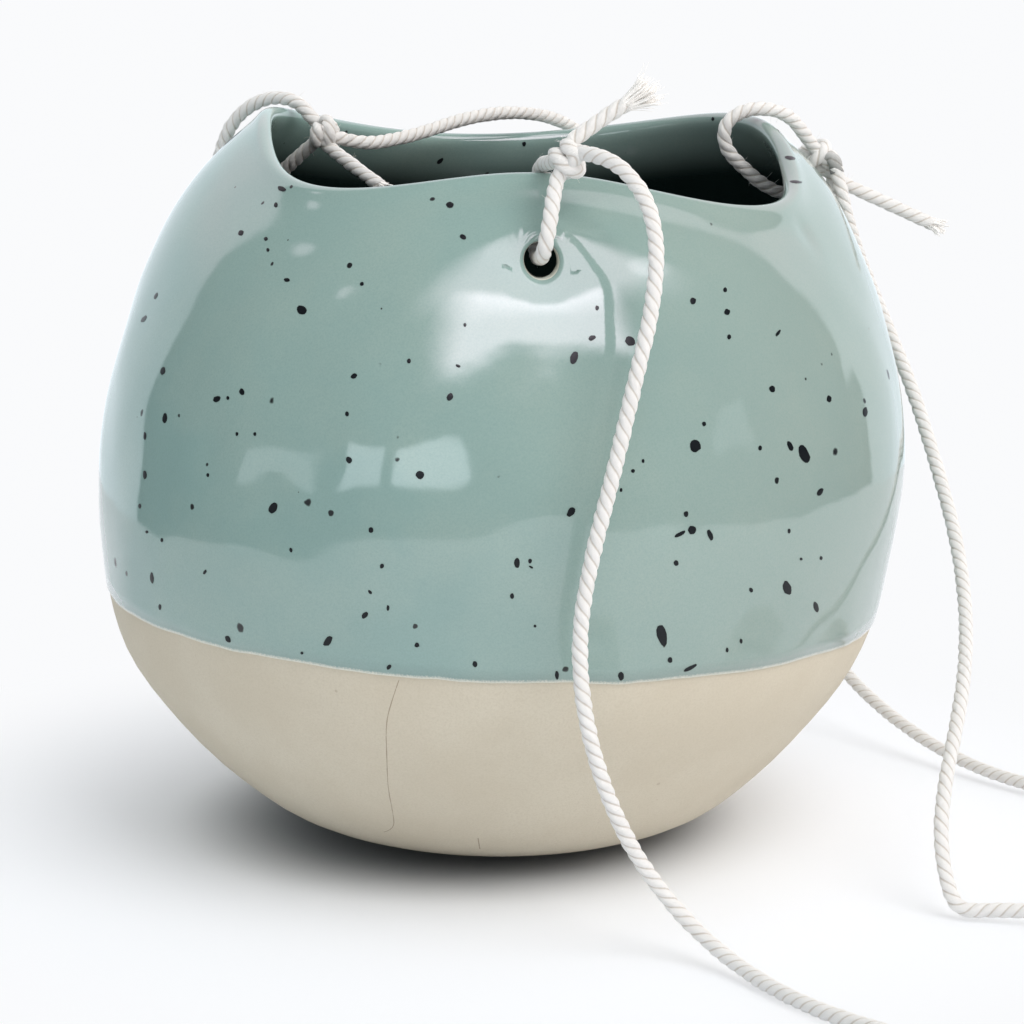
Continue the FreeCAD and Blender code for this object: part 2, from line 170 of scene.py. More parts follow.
routes = {}
coil_centres, coil_ways = {}, {}
for ear, run in RUNS.items():
    run = [Vector(point) for point in run]
    way = run[-1] - run[-2]
    coil_ways[ear] = Vector((way.x, way.y, 0)).normalized()
    turns, coil_centres[ear] = coil_points(run[-1], coil_ways[ear], COIL_SIDES[ear])
    routes[ear] = [point * MM for point in run + turns]
    print(ear, "cord has", len(routes[ear]), "control points")


# %% A smooth line through a route
def smooth_line(points, spacing):
    """Evenly spaced points on the NURBS curve of order 3 that the control points draw."""
    curve = bpy.data.curves.new("route", "CURVE")
    curve.dimensions = "3D"
    spline = curve.splines.new("NURBS")
    spline.points.add(len(points) - 1)
    for knot, place in zip(spline.points, points):
        knot.co = (*place, 1)
    spline.order_u = 3
    spline.use_endpoint_u = True
    spline.resolution_u = 12
    holder = bpy.data.objects.new("route", curve)
    scene.collection.objects.link(holder)
    mesh = bpy.data.meshes.new_from_object(holder)
    line = [vert.co.copy() for vert in mesh.vertices]
    bpy.data.objects.remove(holder)
    bpy.data.curves.remove(curve)
    bpy.data.meshes.remove(mesh)
    return even_line(line, spacing)


def even_line(line, spacing):
    """The same line with its points at equal distances."""
    reach = [0.0]
    for before, after in zip(line, line[1:]):
        reach.append(reach[-1] + (after - before).length)
    count = max(round(reach[-1] / spacing), 2)
    even, index = [], 0
    for step in range(count + 1):
        target = reach[-1] * step / count
        while index < len(line) - 2 and reach[index + 1] < target:
            index += 1
        span = reach[index + 1] - reach[index]
        even.append(line[index].lerp(line[index + 1], (target - reach[index]) / span if span else 0))
    return even


def line_length(line):
    return sum((after - before).length for before, after in zip(line, line[1:]))


RING_SPACING = 0.4 * MM
cord_lines = {ear: smooth_line(points, RING_SPACING) for ear, points in routes.items()}
for ear, line in cord_lines.items():
    print(f"{ear} cord: {line_length(line) * 1000:.0f} mm")

# %% [markdown]
# ## Twisted cotton
# The cord is three soft strands laid together, about 3 mm across, and each strand goes once
# round in about 8 mm. Three separate tubes could be wound round each other, but pressed cotton
# strands flatten where they meet, so one tube with three rounded lobes is closer. A grid is
# rolled up into that tube: one direction of the grid goes round the cord and the other along it.

# %% The cord's surface
STRANDS = 3
LAY = 7.8 * MM
SIDES = 24
STRAND_OFFSET = 0.27
STRAND_RADIUS = 0.80
# How much the cord's thickness wanders along it, and how rough its surface is, as shares of its
# radius, each with the number of its bumps in a metre
WANDER, WANDER_COUNT = 0.06, 260
ROUGH, ROUGH_COUNT = 0.05, 900
# How fast the roughness changes round the cord
ROUGH_AROUND = 1.6
# Points nearer to each other than this, in millimetres, become one
MERGE = 0.001


def strand_outline(angle):
    """Distance of the surface from the cord's axis, as a share of the cord's radius."""
    part = math.tau / STRANDS
    off = (angle + part / 2) % part - part / 2
    return STRAND_OFFSET * math.cos(off) + math.sqrt(STRAND_RADIUS**2 - (STRAND_OFFSET * math.sin(off))**2)


def direction_at(line, index):
    return (line[min(index + 1, len(line) - 1)] - line[max(index - 1, 0)]).normalized()


def carried_frames(line):
    """(way, side) at each point of a line, with the side carried along and never spun."""
    frames = []
    side = None
    for index in range(len(line)):
        way = direction_at(line, index)
        if side is None:
            side = way.orthogonal()
        side = (side - way * side.dot(way)).normalized()
        frames.append((way, side))
    return frames


def new_object(name, shape):
    """Turn a bmesh into a linked object with smooth faces."""
    mesh = bpy.data.meshes.new(name)
    for face in shape.faces:
        face.smooth = True
    shape.to_mesh(mesh)
    shape.free()
    made = bpy.data.objects.new(name, mesh)
    scene.collection.objects.link(made)
    return made


def close_tubes(shape, distance):
    """Join the sides of rolled-up grids, and fill their ends."""
    rim = [vert for vert in shape.verts if vert.is_boundary]
    bmesh.ops.remove_doubles(shape, verts=rim, dist=distance)
    ends = [edge for edge in shape.edges if edge.is_boundary]
    bmesh.ops.holes_fill(shape, edges=ends, sides=0)
    bmesh.ops.recalc_face_normals(shape, faces=shape.faces)


def twisted_cord(name, line):
    """A closed tube of three twisted lobes along a line."""
    rings = len(line) - 1
    shape = bmesh.new()
    bmesh.ops.create_grid(shape, x_segments=SIDES, y_segments=rings, size=1)
    lay = shape.loops.layers.uv.new("lay")
    length = line_length(line)
    frames = carried_frames(line)
    for face in shape.faces:
        for corner in face.loops:
            x, y, _ = corner.vert.co
            corner[lay].uv = ((x + 1) / 2, (y + 1) / 2 * length / LAY)
    for vert in shape.verts:
        around = (vert.co.x + 1) / 2 * math.tau
        share = (vert.co.y + 1) / 2
        ring = round(share * rings)
        way, side = frames[ring]
        angle = around - math.tau * share * length / LAY
        wander = noise.noise(line[ring] * WANDER_COUNT) * WANDER
        radius = CORD / 2 * MM * strand_outline(around) * (1 + wander)
        spoke = Matrix.Rotation(angle, 3, way) @ side
        tuft = noise.noise(line[ring] * ROUGH_COUNT + spoke * ROUGH_AROUND) * ROUGH
        vert.co = line[ring] + spoke * radius * (1 + tuft)
    close_tubes(shape, MERGE * MM)
    return new_object(name, shape)


# %% [markdown]
# ## Knots, loops and tails
# One short cord makes each knot. It starts at the frayed tail, winds round the long cord in a
# small knot, goes down the outside, in through the hole, up the inside and back over the rim
# into the knot. The points near the ear are given from the middle of the hole, as distances
# away from the bowl, to the right along the rim, and up.

# %% Routes of the ties, in millimetres
LOOPS = {
    "front": (
        (-1.8, 3.8, 17.2), (2.0, 2.4, 12.8), (5.0, 1.4, 7.8), (5.4, 0.5, 3.2), (2.2, 0.2, 0.6),
        (-3.4, 0.0, 0.0), (-9.0, 0.1, -0.4), (-15.6, 0.3, 2.8), (-20.6, 0.7, 8.0), (-22.0, 1.2, 13.8),
        (-19.2, 2.0, 17.6), (-13.8, 3.0, 18.2), (-8.2, 4.2, 19.4), (-5.0, 4.7, 20.2),
    ),
    "left": (
        (-23.2, 3.4, 14.4), (-18.0, 2.6, 19.5), (-11.2, 1.8, 20.6), (-4.6, 1.8, 18.8), (1.2, 1.6, 14.4),
        (4.8, 1.0, 8.4), (6.6, 0.4, 2.8), (3.0, 0.2, -0.3), (-2.8, 0.0, -0.6), (-8.4, 0.2, 0.0),
        (-14.0, 2.4, 4.2), (-20.6, 4.0, 8.8), (-24.0, 4.2, 11.2),
    ),
    "right": (
        (2.6, 4.6, 10.8), (-1.0, 2.8, 14.4), (-5.2, 1.2, 18.2), (-11.4, 0.3, 20.0), (-17.4, 0.4, 19.6),
        (-22.0, 0.5, 16.4), (-21.6, 0.6, 11.0), (-17.2, 0.4, 6.6), (-11.6, 0.2, 2.0), (-5.6, 0.0, -0.4),
        (0.6, 0.2, -0.5), (5.9, 1.4, -0.1), (8.2, 3.6, 2.8), (7.0, 5.0, 5.8),
    ),
}
TAILS = {
    "front": ((13.0, -71.0, 160.4), (18.4, -69.2, 164.2), (24.0, -68.0, 168.0), (31.2, -67.0, 171.6)),
    "left": ((-40.6, 18.6, 154.8), (-36.0, 14.6, 151.6), (-31.0, 10.2, 148.4), (-25.6, 5.0, 145.0)),
    "right": ((75.9, 32.6, 147.8), (81.0, 33.6, 144.2), (89.6, 34.4, 140.4), (104.8, 35.6, 133.4)),
}
# Each knot: its middle from the hole, and the line along X, Y and Z that its wraps go round
KNOTS = {
    "front": ((-2.4, 5.9, 19.4), (0.75, -0.2, 0.6)),
    "left": ((-25.0, 3.2, 12.8), (0.9, 0.25, -0.2)),
    "right": ((4.6, 5.6, 8.2), (0.55, 0.1, -0.8)),
}
KNOT_WRAPS = 1.7
KNOT_WRAP_RADIUS = 2.7
KNOT_PITCH = 3.0
KNOT_POINTS = 12


def ear_place(ear, point):
    """A point near an ear, given from its hole, in the planter's own place in metres."""
    outward = Vector(ties[ear]["axis"])
    sideways = Vector((-outward.y, outward.x, 0))
    out, right, up = point
    return Vector(ties[ear]["pos_m"]) + (outward * out + sideways * right + Vector((0, 0, up))) * MM


def knot_wraps(ear):
    """Control points of the turns that wind round the knot's middle."""
    centre, axis = KNOTS[ear]
    middle = ear_place(ear, centre)
    axis = Vector(axis).normalized()
    start = ear_place(ear, LOOPS[ear][0]) - middle
    first = (start - axis * start.dot(axis)).normalized()
    points = []
    count = round(KNOT_WRAPS * KNOT_POINTS)
    for step in range(count + 1):
        turns = step / KNOT_POINTS - KNOT_WRAPS
        spoke = Matrix.Rotation(math.tau * turns, 3, axis) @ first
        along = (step / count - 0.5) * KNOT_PITCH * KNOT_WRAPS
        points.append(middle + (spoke * KNOT_WRAP_RADIUS + axis * along) * MM)
    return points


tie_lines = {}
for ear in LOOPS:
    tail = [Vector(point) * MM for point in TAILS[ear]][::-1]
    loop = [ear_place(ear, point) for point in LOOPS[ear]]
    tie_lines[ear] = smooth_line(tail + knot_wraps(ear) + loop, RING_SPACING)
    print(f"{ear} tie: {line_length(tie_lines[ear]) * 1000:.0f} mm of cord")

# %% Ties, long cords, and what joins them inside the knot
# Length of the frayed part of each tail, in millimetres
FRAYED = {"front": 6.4, "left": 2.6, "right": 3.0}
# Each lead runs from the knot's middle into the long cord. It reaches this far back in
# millimetres, and its line is taken from these points of the cord
LEAD_STEP = 3.0
LEAD_AIM = 8
LEAD_JOIN = 3
for ear, length in FRAYED.items():
    tie_lines[ear] = tie_lines[ear][int(length * MM / RING_SPACING):]
tie_cords = {ear: twisted_cord(f"{ear}_tie_cord", line) for ear, line in tie_lines.items()}
long_cords, leads = {}, {}
for ear, line in cord_lines.items():
    long_cords[ear] = twisted_cord(f"{ear}_cord", line)
    middle = ear_place(ear, KNOTS[ear][0])
    way = (line[0] - line[LEAD_AIM]).normalized()
    lead = smooth_line([middle, line[0] + way * LEAD_STEP * MM, line[0], line[LEAD_JOIN]], RING_SPACING)
    leads[ear] = twisted_cord(f"{ear}_cord_lead", lead)
    print(long_cords[ear].name, len(long_cords[ear].data.polygons), "faces")

# %% [markdown]
# ## Frayed ends and stray fibres
# Cut cotton opens at its ends: the yarns of each strand spread like a small brush, and single
# fibres stand off everywhere. A hair system would be the usual way, but it isn't a mesh, so each
# yarn or fibre is a very thin tapering tube, rolled up from a grid like the cord itself.

# %% Fibres
fibre_luck = random.Random(12)
FIBRE_SIDES = 4
FIBRE_RINGS = 5
FIBRE_TAPER = 0.5
# Fibres start this far from the cord's axis, as a share of its width, and bend this much
BRUSH_START, BRUSH_CURL, BRUSH_TANGLE = 0.36, 0.6, 0.12
FUZZ_START, FUZZ_CURL = 0.4, 0.7
# Shortest and longest of them, as shares of the given length
BRUSH_LENGTHS, FUZZ_LENGTHS = (0.6, 1.0), (0.4, 1.0)
# Points of the line that give a brush its root and its direction, and that stay without fuzz
BRUSH_ROOT, BRUSH_AIM, FUZZ_END = 4, 6, 4


def add_fibre(shape, start, way, bend, length, radius):
    """A thin tapering tube that starts along way and bends aside."""
    made = bmesh.ops.create_grid(shape, x_segments=FIBRE_SIDES, y_segments=FIBRE_RINGS, size=1)["verts"]
    side = way.orthogonal().normalized()
    for vert in made:
        share = (vert.co.y + 1) / 2
        around = vert.co.x * math.pi
        middle = start + (way + bend * share) * length * share
        vert.co = middle + Matrix.Rotation(around, 3, way) @ side * radius * (1 - FIBRE_TAPER * share)


def random_way():
    return Vector([fibre_luck.gauss(0, 1) for _ in range(3)]).normalized()


def add_brush(shape, line, count, length, radius, spread):
    """Fibres that open out of the first point of a line, away from the cord."""
    way = (line[0] - line[BRUSH_AIM]).normalized()
    for _ in range(count):
        aside = random_way()
        aside = (aside - way * aside.dot(way)) * math.sqrt(fibre_luck.random())
        start = line[BRUSH_ROOT] + aside * CORD * BRUSH_START * MM
        reach = length * fibre_luck.uniform(*BRUSH_LENGTHS) * MM
        lean = (way + aside * spread).normalized()
        bend = aside * spread * BRUSH_CURL + random_way() * BRUSH_TANGLE
        add_fibre(shape, start, lean, bend, reach, radius * MM)


def add_fuzz(shape, line, count, length, radius):
    """Single fibres that stand off along a line."""
    for _ in range(count):
        place = line[fibre_luck.randrange(FUZZ_END, len(line) - FUZZ_END)]
        aside = random_way()
        reach = length * fibre_luck.uniform(*FUZZ_LENGTHS) * MM
        start = place + aside * CORD * FUZZ_START * MM
        add_fibre(shape, start, aside, random_way() * FUZZ_CURL, reach, radius * MM)


# Each brush: ear, how many yarns, their length and spread, and how many single fibres
BRUSHES = (("front", 70, 8.0, 0.27, 60), ("left", 18, 4.2, 0.18, 12), ("right", 20, 4.8, 0.18, 14))
YARN_RADIUS = 0.46
WISP_RADIUS = 0.09
WISP_LENGTH, WISP_SPREAD = 1.15, 1.4
FUZZ, FUZZ_LENGTH, FUZZ_RADIUS = 70, 2.2, 0.045
fibres = {}
for ear, yarns, length, spread, wisps in BRUSHES:
    shape = bmesh.new()
    add_brush(shape, tie_lines[ear], yarns, length, YARN_RADIUS, spread)
    add_brush(shape, tie_lines[ear], wisps, length * WISP_LENGTH, WISP_RADIUS, spread * WISP_SPREAD)
    add_fuzz(shape, tie_lines[ear], FUZZ, FUZZ_LENGTH, FUZZ_RADIUS)
    close_tubes(shape, MERGE / 2 * MM)
    fibres[ear] = new_object(f"{ear}_tie_fibres", shape)
    print(fibres[ear].name, len(fibres[ear].data.polygons), "faces")

# %% [markdown]
# ## The shape of the wall
# The bowl was thrown and then pushed out of round, so its section changes as it goes round. Rows
# of control points run up the outside, over the lip and down the inside. A few waves raise the
# rim at the three ears, and a flare pushes the right one out. A lathe or Screw modifier would
# give a perfectly round pot. Here the rows are blended by a cubic B-spline both ways, the same
# one that the solid was made with.

# %% Rows of the wall, in millimetres
FOOT_RADIUS = 30.0
BELLY_RADIUS = 91.2
POT_HEIGHT = 154.9
RIM_RADIUS = 59.2
WALL = 5.2
FLOOR = 6.5
RIM_ROLL = 1.0
GLAZE = 0.4
LEAN = 2.4
LIP_LEAN = 1.4
EAR_SWELL = 2.6
COLUMNS = 36
# Each row: share of the belly, share of the height, follows the rim, swells at the ears,
# leans, follows the mouth, follows the flare
OUTSIDE_ROWS = (
    (0.515, 0.027, 0.0, 0.0, 0.0, 0.0, 0.0),
    (0.615, 0.055, 0.0, 0.0, -0.3, 0.0, 0.0),
    (0.928, 0.252, 0.0, 0.0, -0.6, 0.0, 0.0),
    (0.975, 0.380, 0.0, 0.0, -0.6, 0.0, 0.0),
    (1.008, 0.570, 0.0, 0.1, 0.2, 0.0, 0.0),
    (0.942, 0.752, 0.1, 0.4, 0.7, 0.0, 0.0),
    (0.838, 0.888, 0.4, 1.0, 0.9, 0.0, 0.2),
    (0.737, 0.955, 0.8, 0.7, 1.3, 0.4, 0.7),
)
# Each wave: how many in one turn, its size, and the turn of its first crest in degrees
RIM_WAVES = ((1, 4.7, -148.1), (2, 2.4, -72.8), (3, 4.2, 6.9), (4, 1.3, 6.7))
EAR_WAVE = RIM_WAVES[2]
MOUTH_WAVES = ((2, 1.8, 18.9), (3, 2.5, 58.5), (4, 2.7, -32.8))
# The right ear's rim flares out further than the waves bring it, most at one turn in degrees
FLARE = 8.0
FLARE_TURN = 112.0
FLARE_SPREAD = 30.0
LIP_OUT = 2.3
LIP_IN = 2.6
LIP_DROP = 2.2
WALL_START = 2.2
FLOOR_EDGE = 1.55


def turn_from(turn, middle):
    """Degrees from one turn to another, by the shorter way round."""
    return (turn - middle + 180) % 360 - 180


def wave_sum(waves, turn):
    return sum(size * math.cos(math.radians(count * (turn - first))) for count, size, first in waves)


def shifted(rows, amount):
    """Rows moved square to their own line."""
    moved = []
    for index, (radius, height, lean) in enumerate(rows):
        before, after = rows[max(index - 1, 0)], rows[min(index + 1, len(rows) - 1)]
        along = (after[0] - before[0], after[1] - before[1])
        size = math.hypot(*along)
        moved.append((radius - amount * along[1] / size, height + amount * along[0] / size, lean))
    return moved


def wall_column(turn, skin):
    """Control points up the outside, over the lip and down to the floor, at one turn."""
    rise, mouth = wave_sum(RIM_WAVES, turn), wave_sum(MOUTH_WAVES, turn)
    count, _, first = EAR_WAVE
    ear = EAR_SWELL * math.cos(math.radians(count * (turn - first)))
    flare = FLARE * math.exp(-(turn_from(turn, FLARE_TURN) / FLARE_SPREAD) ** 2)
    outside = [(FOOT_RADIUS, 0.0, 0.0)]
    for share, height, rising, swelling, leaning, opening, flaring in OUTSIDE_ROWS:
        radius = share * BELLY_RADIUS + swelling * ear + opening * mouth + flaring * flare
        outside.append((radius, height * POT_HEIGHT + rising * rise, leaning * LEAN))
    top, middle, lean = POT_HEIGHT + rise, RIM_RADIUS + mouth + flare, LIP_LEAN * LEAN
    lip = [
        (middle + LIP_OUT, top - LIP_DROP, lean), (middle + RIM_ROLL, top, lean),
        (middle - RIM_ROLL, top, lean), (middle - LIP_IN, top - LIP_DROP, lean),
    ]
    inside = [row for row in shifted(outside, WALL)[::-1] if row[1] > WALL_START * FLOOR]
    rows = shifted(outside + lip + inside, -skin)
    rows[0] = (FOOT_RADIUS + skin, -skin, 0.0)
    rows += [(FOOT_RADIUS * FLOOR_EDGE, FLOOR + skin, 0.0), (FOOT_RADIUS, FLOOR + skin, 0.0)]
    # The surface runs a little inside its control points, so they lie further out by this share
    pull = (2 + math.cos(math.tau / COLUMNS)) / 3
    angle = math.radians(turn)
    return [
        Vector((lean + radius / pull * math.sin(angle), -radius / pull * math.cos(angle), height))
        for radius, height, lean in rows
    ]


def even_weights(part):
    """Weights of four neighbours in an endless cubic B-spline."""
    back = 1 - part
    return (
        back**3 / 6, (3 * part**3 - 6 * part**2 + 4) / 6,
        (3 * back**3 - 6 * back**2 + 4) / 6, part**3 / 6,
    )


def end_weights(share, count):
    """(first of four poles, their weights) in a cubic B-spline that ends on its end poles."""
    spans = count - 3
    place = share * spans
    span = min(int(place), spans - 1)
    weights = [1.0]
    for degree in range(1, 4):
        grown = [0.0] * (degree + 1)
        for index, weight in enumerate(weights):
            low = min(max(span - degree + 1 + index, 0), spans)
            high = min(max(span + 1 + index, 0), spans)
            part = (place - low) / (high - low)
            grown[index] += weight * (1 - part)
            grown[index + 1] += weight * part
        weights = grown
    return span, weights


columns = {
    skin: [wall_column(360 * step / COLUMNS, skin) for step in range(COLUMNS)] for skin in (0.0, GLAZE)
}
blended = {}


def wall_point(turn, share, skin=0.0):
    """The wall's surface at a turn in degrees and a share of the way from the foot to the floor."""
    key = (round(turn, 4), skin)
    if key not in blended:
        place = turn / 360 * COLUMNS
        first = math.floor(place)
        weights = even_weights(place - first)
        near = [columns[skin][(first + offset) % COLUMNS] for offset in (-1, 0, 1, 2)]
        blended[key] = [
            sum((pole * weight for pole, weight in zip(poles, weights)), Vector()) for poles in zip(*near)
        ]
    column = blended[key]
    first, weights = end_weights(share, len(column))
    return sum((column[first + index] * weight for index, weight in enumerate(weights)), Vector())


# Share of the way along a column at which the outside ends and the inside starts
LIP_SHARE = 0.528
print("wall rows:", len(columns[0.0][0]))

# %% [markdown]
# ## Marks of the hand
# The real wall isn't a smooth surface of revolution. Fingers left soft dents in it, and pressing
# the hole through left a shallow dish around it, which is what bends the reflections there. A
# displacement texture would do the dents, but moving each point by a smooth noise in the same
# function that places it keeps the clay and the glaze exactly parallel.

# %% Dents and dishes
DENT = 0.5
DENT_SIZE = 36.0
DENT_SHIFT = Vector((7.3, 1.9, 4.4))
RIPPLE = 0.38
RIPPLE_SIZE = 15.0
RIPPLE_SHIFT = Vector((1.3, 5.9, 2.4))
DENT_TOP = 148.0
DENT_FADE = 26.0
DISH = 0.85
DISH_REACH = 5.6
# Each fingertip mark: its turn in degrees, its height, its depth and its reach
DIMPLES = (
    (63, 139, 0.55, 3.4), (57, 109, 0.40, 3.4), (42, 94, 0.45, 4.4), (-43, 99, 0.50, 5.0),
    (-31, 91, 0.40, 5.5), (8, 84, 0.45, 6.5), (24, 88, 0.35, 5.0), (150, 110, 0.45, 6.0),
    (-120, 95, 0.40, 5.0),
)


def eased(value):
    value = min(max(value, 0.0), 1.0)
    return value * value * (3 - 2 * value)


def hole_offset(ear, point):
    """(out, right, up) of a point from the middle of a hole, in millimetres."""
    outward = Vector(ties[ear]["axis"])
    gap = point - Vector(ties[ear]["pos_m"]) / MM
    return gap.dot(outward), gap.dot(Vector((-outward.y, outward.x, 0))), gap.z


def surface_point(turn, share, skin):
    """The finished surface: the even wall, its dents, and the dish around each hole."""
    point = wall_point(turn, share, skin)
    if share > LIP_SHARE:
        return point
    outward = Vector((point.x, point.y, 0)).normalized()
    fade = eased((DENT_TOP - point.z) / DENT_FADE) * eased(point.z / DENT_FADE)
    dent = DENT * noise.noise(point / DENT_SIZE + DENT_SHIFT) * fade
    dent += RIPPLE * noise.noise(point / RIPPLE_SIZE + RIPPLE_SHIFT) * fade
    for ear in ties:
        out, right, up = hole_offset(ear, point)
        if out > 0:
            dent -= DISH * math.exp(-(right * right + up * up) / DISH_REACH**2)
    for at, height, depth, reach in DIMPLES:
        along = math.radians(turn_from(turn, at)) * BELLY_RADIUS
        dent -= depth * math.exp(-(along * along + (point.z - height)**2) / reach**2)
    return point + outward * dent


HALVINGS = 30


def share_at_height(turn, height, low, high):
    """Share of the way along the wall, between low and high, where it has this height."""
    rising = wall_point(turn, high).z > wall_point(turn, low).z
    for _ in range(HALVINGS):
        middle = (low + high) / 2
        if (wall_point(turn, middle).z < height) == rising:
            low = middle
        else:
            high = middle
    return (low + high) / 2


EAR_TURNS = {
    ear: math.degrees(math.atan2(tie["axis"][0], -tie["axis"][1])) for ear, tie in ties.items()
}
# Between these shares of a column lies the hole's height, on each side of the wall
SIDE_SHARES = {"outside": (0.2, LIP_SHARE), "inside": (LIP_SHARE, 0.85)}
HOLE_SHARES = {
    (ear, side): share_at_height(turn, ties[ear]["pos_m"][2] / MM, *ends)
    for ear, turn in EAR_TURNS.items() for side, ends in SIDE_SHARES.items()
}
print("holes:", {key: round(share, 3) for key, share in HOLE_SHARES.items()})


# Small steps that show how fast the surface moves, and how often its place is made better
TURN_NUDGE, SHARE_NUDGE = 0.2, 0.002
TRIES = 4


def point_by_hole(ear, side, right, up, skin):
    """The surface where it lies this far to the right of and above a hole."""
    turn, share = EAR_TURNS[ear], HOLE_SHARES[ear, side]
    for _ in range(TRIES):
        here = hole_offset(ear, surface_point(turn, share, skin))
        by_turn = hole_offset(ear, surface_point(turn + TURN_NUDGE, share, skin))
        by_share = hole_offset(ear, surface_point(turn, share + SHARE_NUDGE, skin))
        steps = Matrix((
            (by_turn[1] - here[1], by_share[1] - here[1]), (by_turn[2] - here[2], by_share[2] - here[2]),
        ))
        move = steps.inverted() @ Vector((right - here[1], up - here[2]))
        turn += move.x * TURN_NUDGE
        share += move.y * SHARE_NUDGE
    return surface_point(turn, share, skin)


# %% [markdown]
# ## From a flat grid to a pot
# A grid is laid out flat first, with the turn along X and the way up, over and down the wall
# along Y. It gets finer where the holes come and loses the faces there. Then each point goes to
# its place on the wall, the sides of the grid are joined, and rings are extruded from the edge
# of each gap to make a round hole with a soft edge. A Boolean would cut the holes at once, but
# it leaves slivers, which show as creases in a glossy glaze.

# %% A grid with gaps where the holes come
AROUND = 240
UP = 108
# Up to this far from a hole's middle the grid is finer, and up to this far it is open
FINE_REACH = 11.0
GAP_REACH = 7.6
# A point further back than this from a hole lies on the other side of the bowl
HOLE_BEHIND = 20.0
HOLE_KEYS = [(ear, side) for ear in ties for side in SIDE_SHARES]


def wall_place(vert, lowest, skin):
    """(share, place) on the wall of a vertex of the flat grid, whose lower edge lies at lowest."""
    turn = 180.0 * vert.co.x
    low = lowest(turn)
    share = low + (1 - low) * (vert.co.y + 1) / 2
    return share, surface_point(turn, share, skin)


def side_of(share):
    return "outside" if share < LIP_SHARE else "inside"


def distance_to_hole(ear, side, share, point):
    out, right, up = hole_offset(ear, point)
    if side_of(share) != side or out < -HOLE_BEHIND:
        return math.inf
    return math.hypot(right, up)


def grid_with_gaps(lowest, skin):
    """A flat grid that is finer round the holes and open in their middle."""
    shape = bmesh.new()
    bmesh.ops.create_grid(shape, x_segments=AROUND, y_segments=UP, size=1)
    spots = {vert: wall_place(vert, lowest, skin) for vert in shape.verts}
    for key in HOLE_KEYS:
        near = {vert for vert in shape.verts if distance_to_hole(*key, *spots[vert]) < FINE_REACH}
        edges = [edge for edge in shape.edges if near.issuperset(edge.verts)]
        bmesh.ops.subdivide_edges(shape, edges=edges, cuts=1, use_grid_fill=True)
        spots.update({vert: wall_place(vert, lowest, skin) for vert in shape.verts if vert not in spots})
    for ear, side in HOLE_KEYS:
        gone = []
        for face in shape.faces:
            if all(distance_to_hole(ear, side, *spots[vert]) < FINE_REACH for vert in face.verts):
                middle = sum((spots[vert][1] for vert in face.verts), Vector()) / len(face.verts)
                _, right, up = hole_offset(ear, middle)
                if math.hypot(right, up) < GAP_REACH:
                    gone.append(face)
        bmesh.ops.delete(shape, geom=gone, context="FACES")
    return shape


# %% A pot with three holes
SEAM = 0.001


def lay_on_wall(shape, lowest, skin):
    """Move each vertex of the flat grid to its place on the wall, and join the grid's sides."""
    heights = shape.verts.layers.float.new("share")
    for vert in shape.verts:
        vert[heights], vert.co = wall_place(vert, lowest, skin)
    seam = [vert for vert in shape.verts if vert.is_boundary]
    bmesh.ops.remove_doubles(shape, verts=seam, dist=SEAM)


def extruded(shape, edges):
    """Extrude a ring of edges, and return the new ring's edges and vertices."""
    made = bmesh.ops.extrude_edge_only(shape, edges=edges)["geom"]
    new_edges = [item for item in made if isinstance(item, bmesh.types.BMEdge) and item.is_boundary]
    return new_edges, [item for item in made if isinstance(item, bmesh.types.BMVert)]


def hole_rim(shape, ear, side, hole_rings, skin):
    """Extrude rings from the edge of a gap to a round rim, and return the last ring's edges."""
    heights = shape.verts.layers.float["share"]

    def angle_of(vert):
        _, right, up = hole_offset(ear, vert.co)
        return math.atan2(up, right)

    def at_hole(vert):
        return vert.is_boundary and distance_to_hole(ear, side, vert[heights], vert.co) < FINE_REACH

    edges = [edge for edge in shape.edges if edge.is_boundary and all(at_hole(v) for v in edge.verts)]
    count = len(edges)
    ring = sorted({vert for edge in edges for vert in edge.verts}, key=angle_of)
    start = sum(angle_of(vert) - math.tau * index / count for index, vert in enumerate(ring)) / count
    inwards = Vector(ties[ear]["axis"]) * (-1 if side == "outside" else 1)
    for radius, depth in hole_rings:
        edges, verts = extruded(shape, edges)
        for index, vert in enumerate(sorted(verts, key=angle_of)):
            angle = start + math.tau * index / count
            place = point_by_hole(ear, side, radius * math.cos(angle), radius * math.sin(angle), skin)
            vert.co = place + inwards * depth
            vert[heights] = HOLE_SHARES[ear, side]
    return edges


def pot_shape(skin, lowest, hole_rings):
    """A wall with its holes. hole_rings are (radius, depth) of the rings from the wall inwards."""
    shape = grid_with_gaps(lowest, skin)
    lay_on_wall(shape, lowest, skin)
    rims = {key: hole_rim(shape, *key, hole_rings, skin) for key in HOLE_KEYS}
    for ear in ties:
        bmesh.ops.bridge_loops(shape, edges=rims[ear, "outside"] + rims[ear, "inside"])
    return shape


def pot_piece(name, shape, low, high):
    """Fill each open ring whose height lies between low and high, and make an object of it."""
    ring = [edge for edge in shape.edges if edge.is_boundary and all(low < v.co.z < high for v in edge.verts)]
    bmesh.ops.holes_fill(shape, edges=ring, sides=0)
    bmesh.ops.recalc_face_normals(shape, faces=shape.faces)
    bmesh.ops.scale(shape, vec=(MM, MM, MM), verts=shape.verts)
    piece = new_object(name, shape)
    print(name, len(piece.data.polygons), "faces")
    return piece


# %% The clay
CLAY_HOLE_RINGS = ((6.0, 0.0), (5.2, 0.0), (4.6, 0.0), (4.2, 0.15), (3.9, 0.6))
clay_shape = pot_shape(0.0, lambda turn: 0.0, CLAY_HOLE_RINGS)
clay_body = pot_piece("clay_bowl", clay_shape, -1, FLOOR + 1)

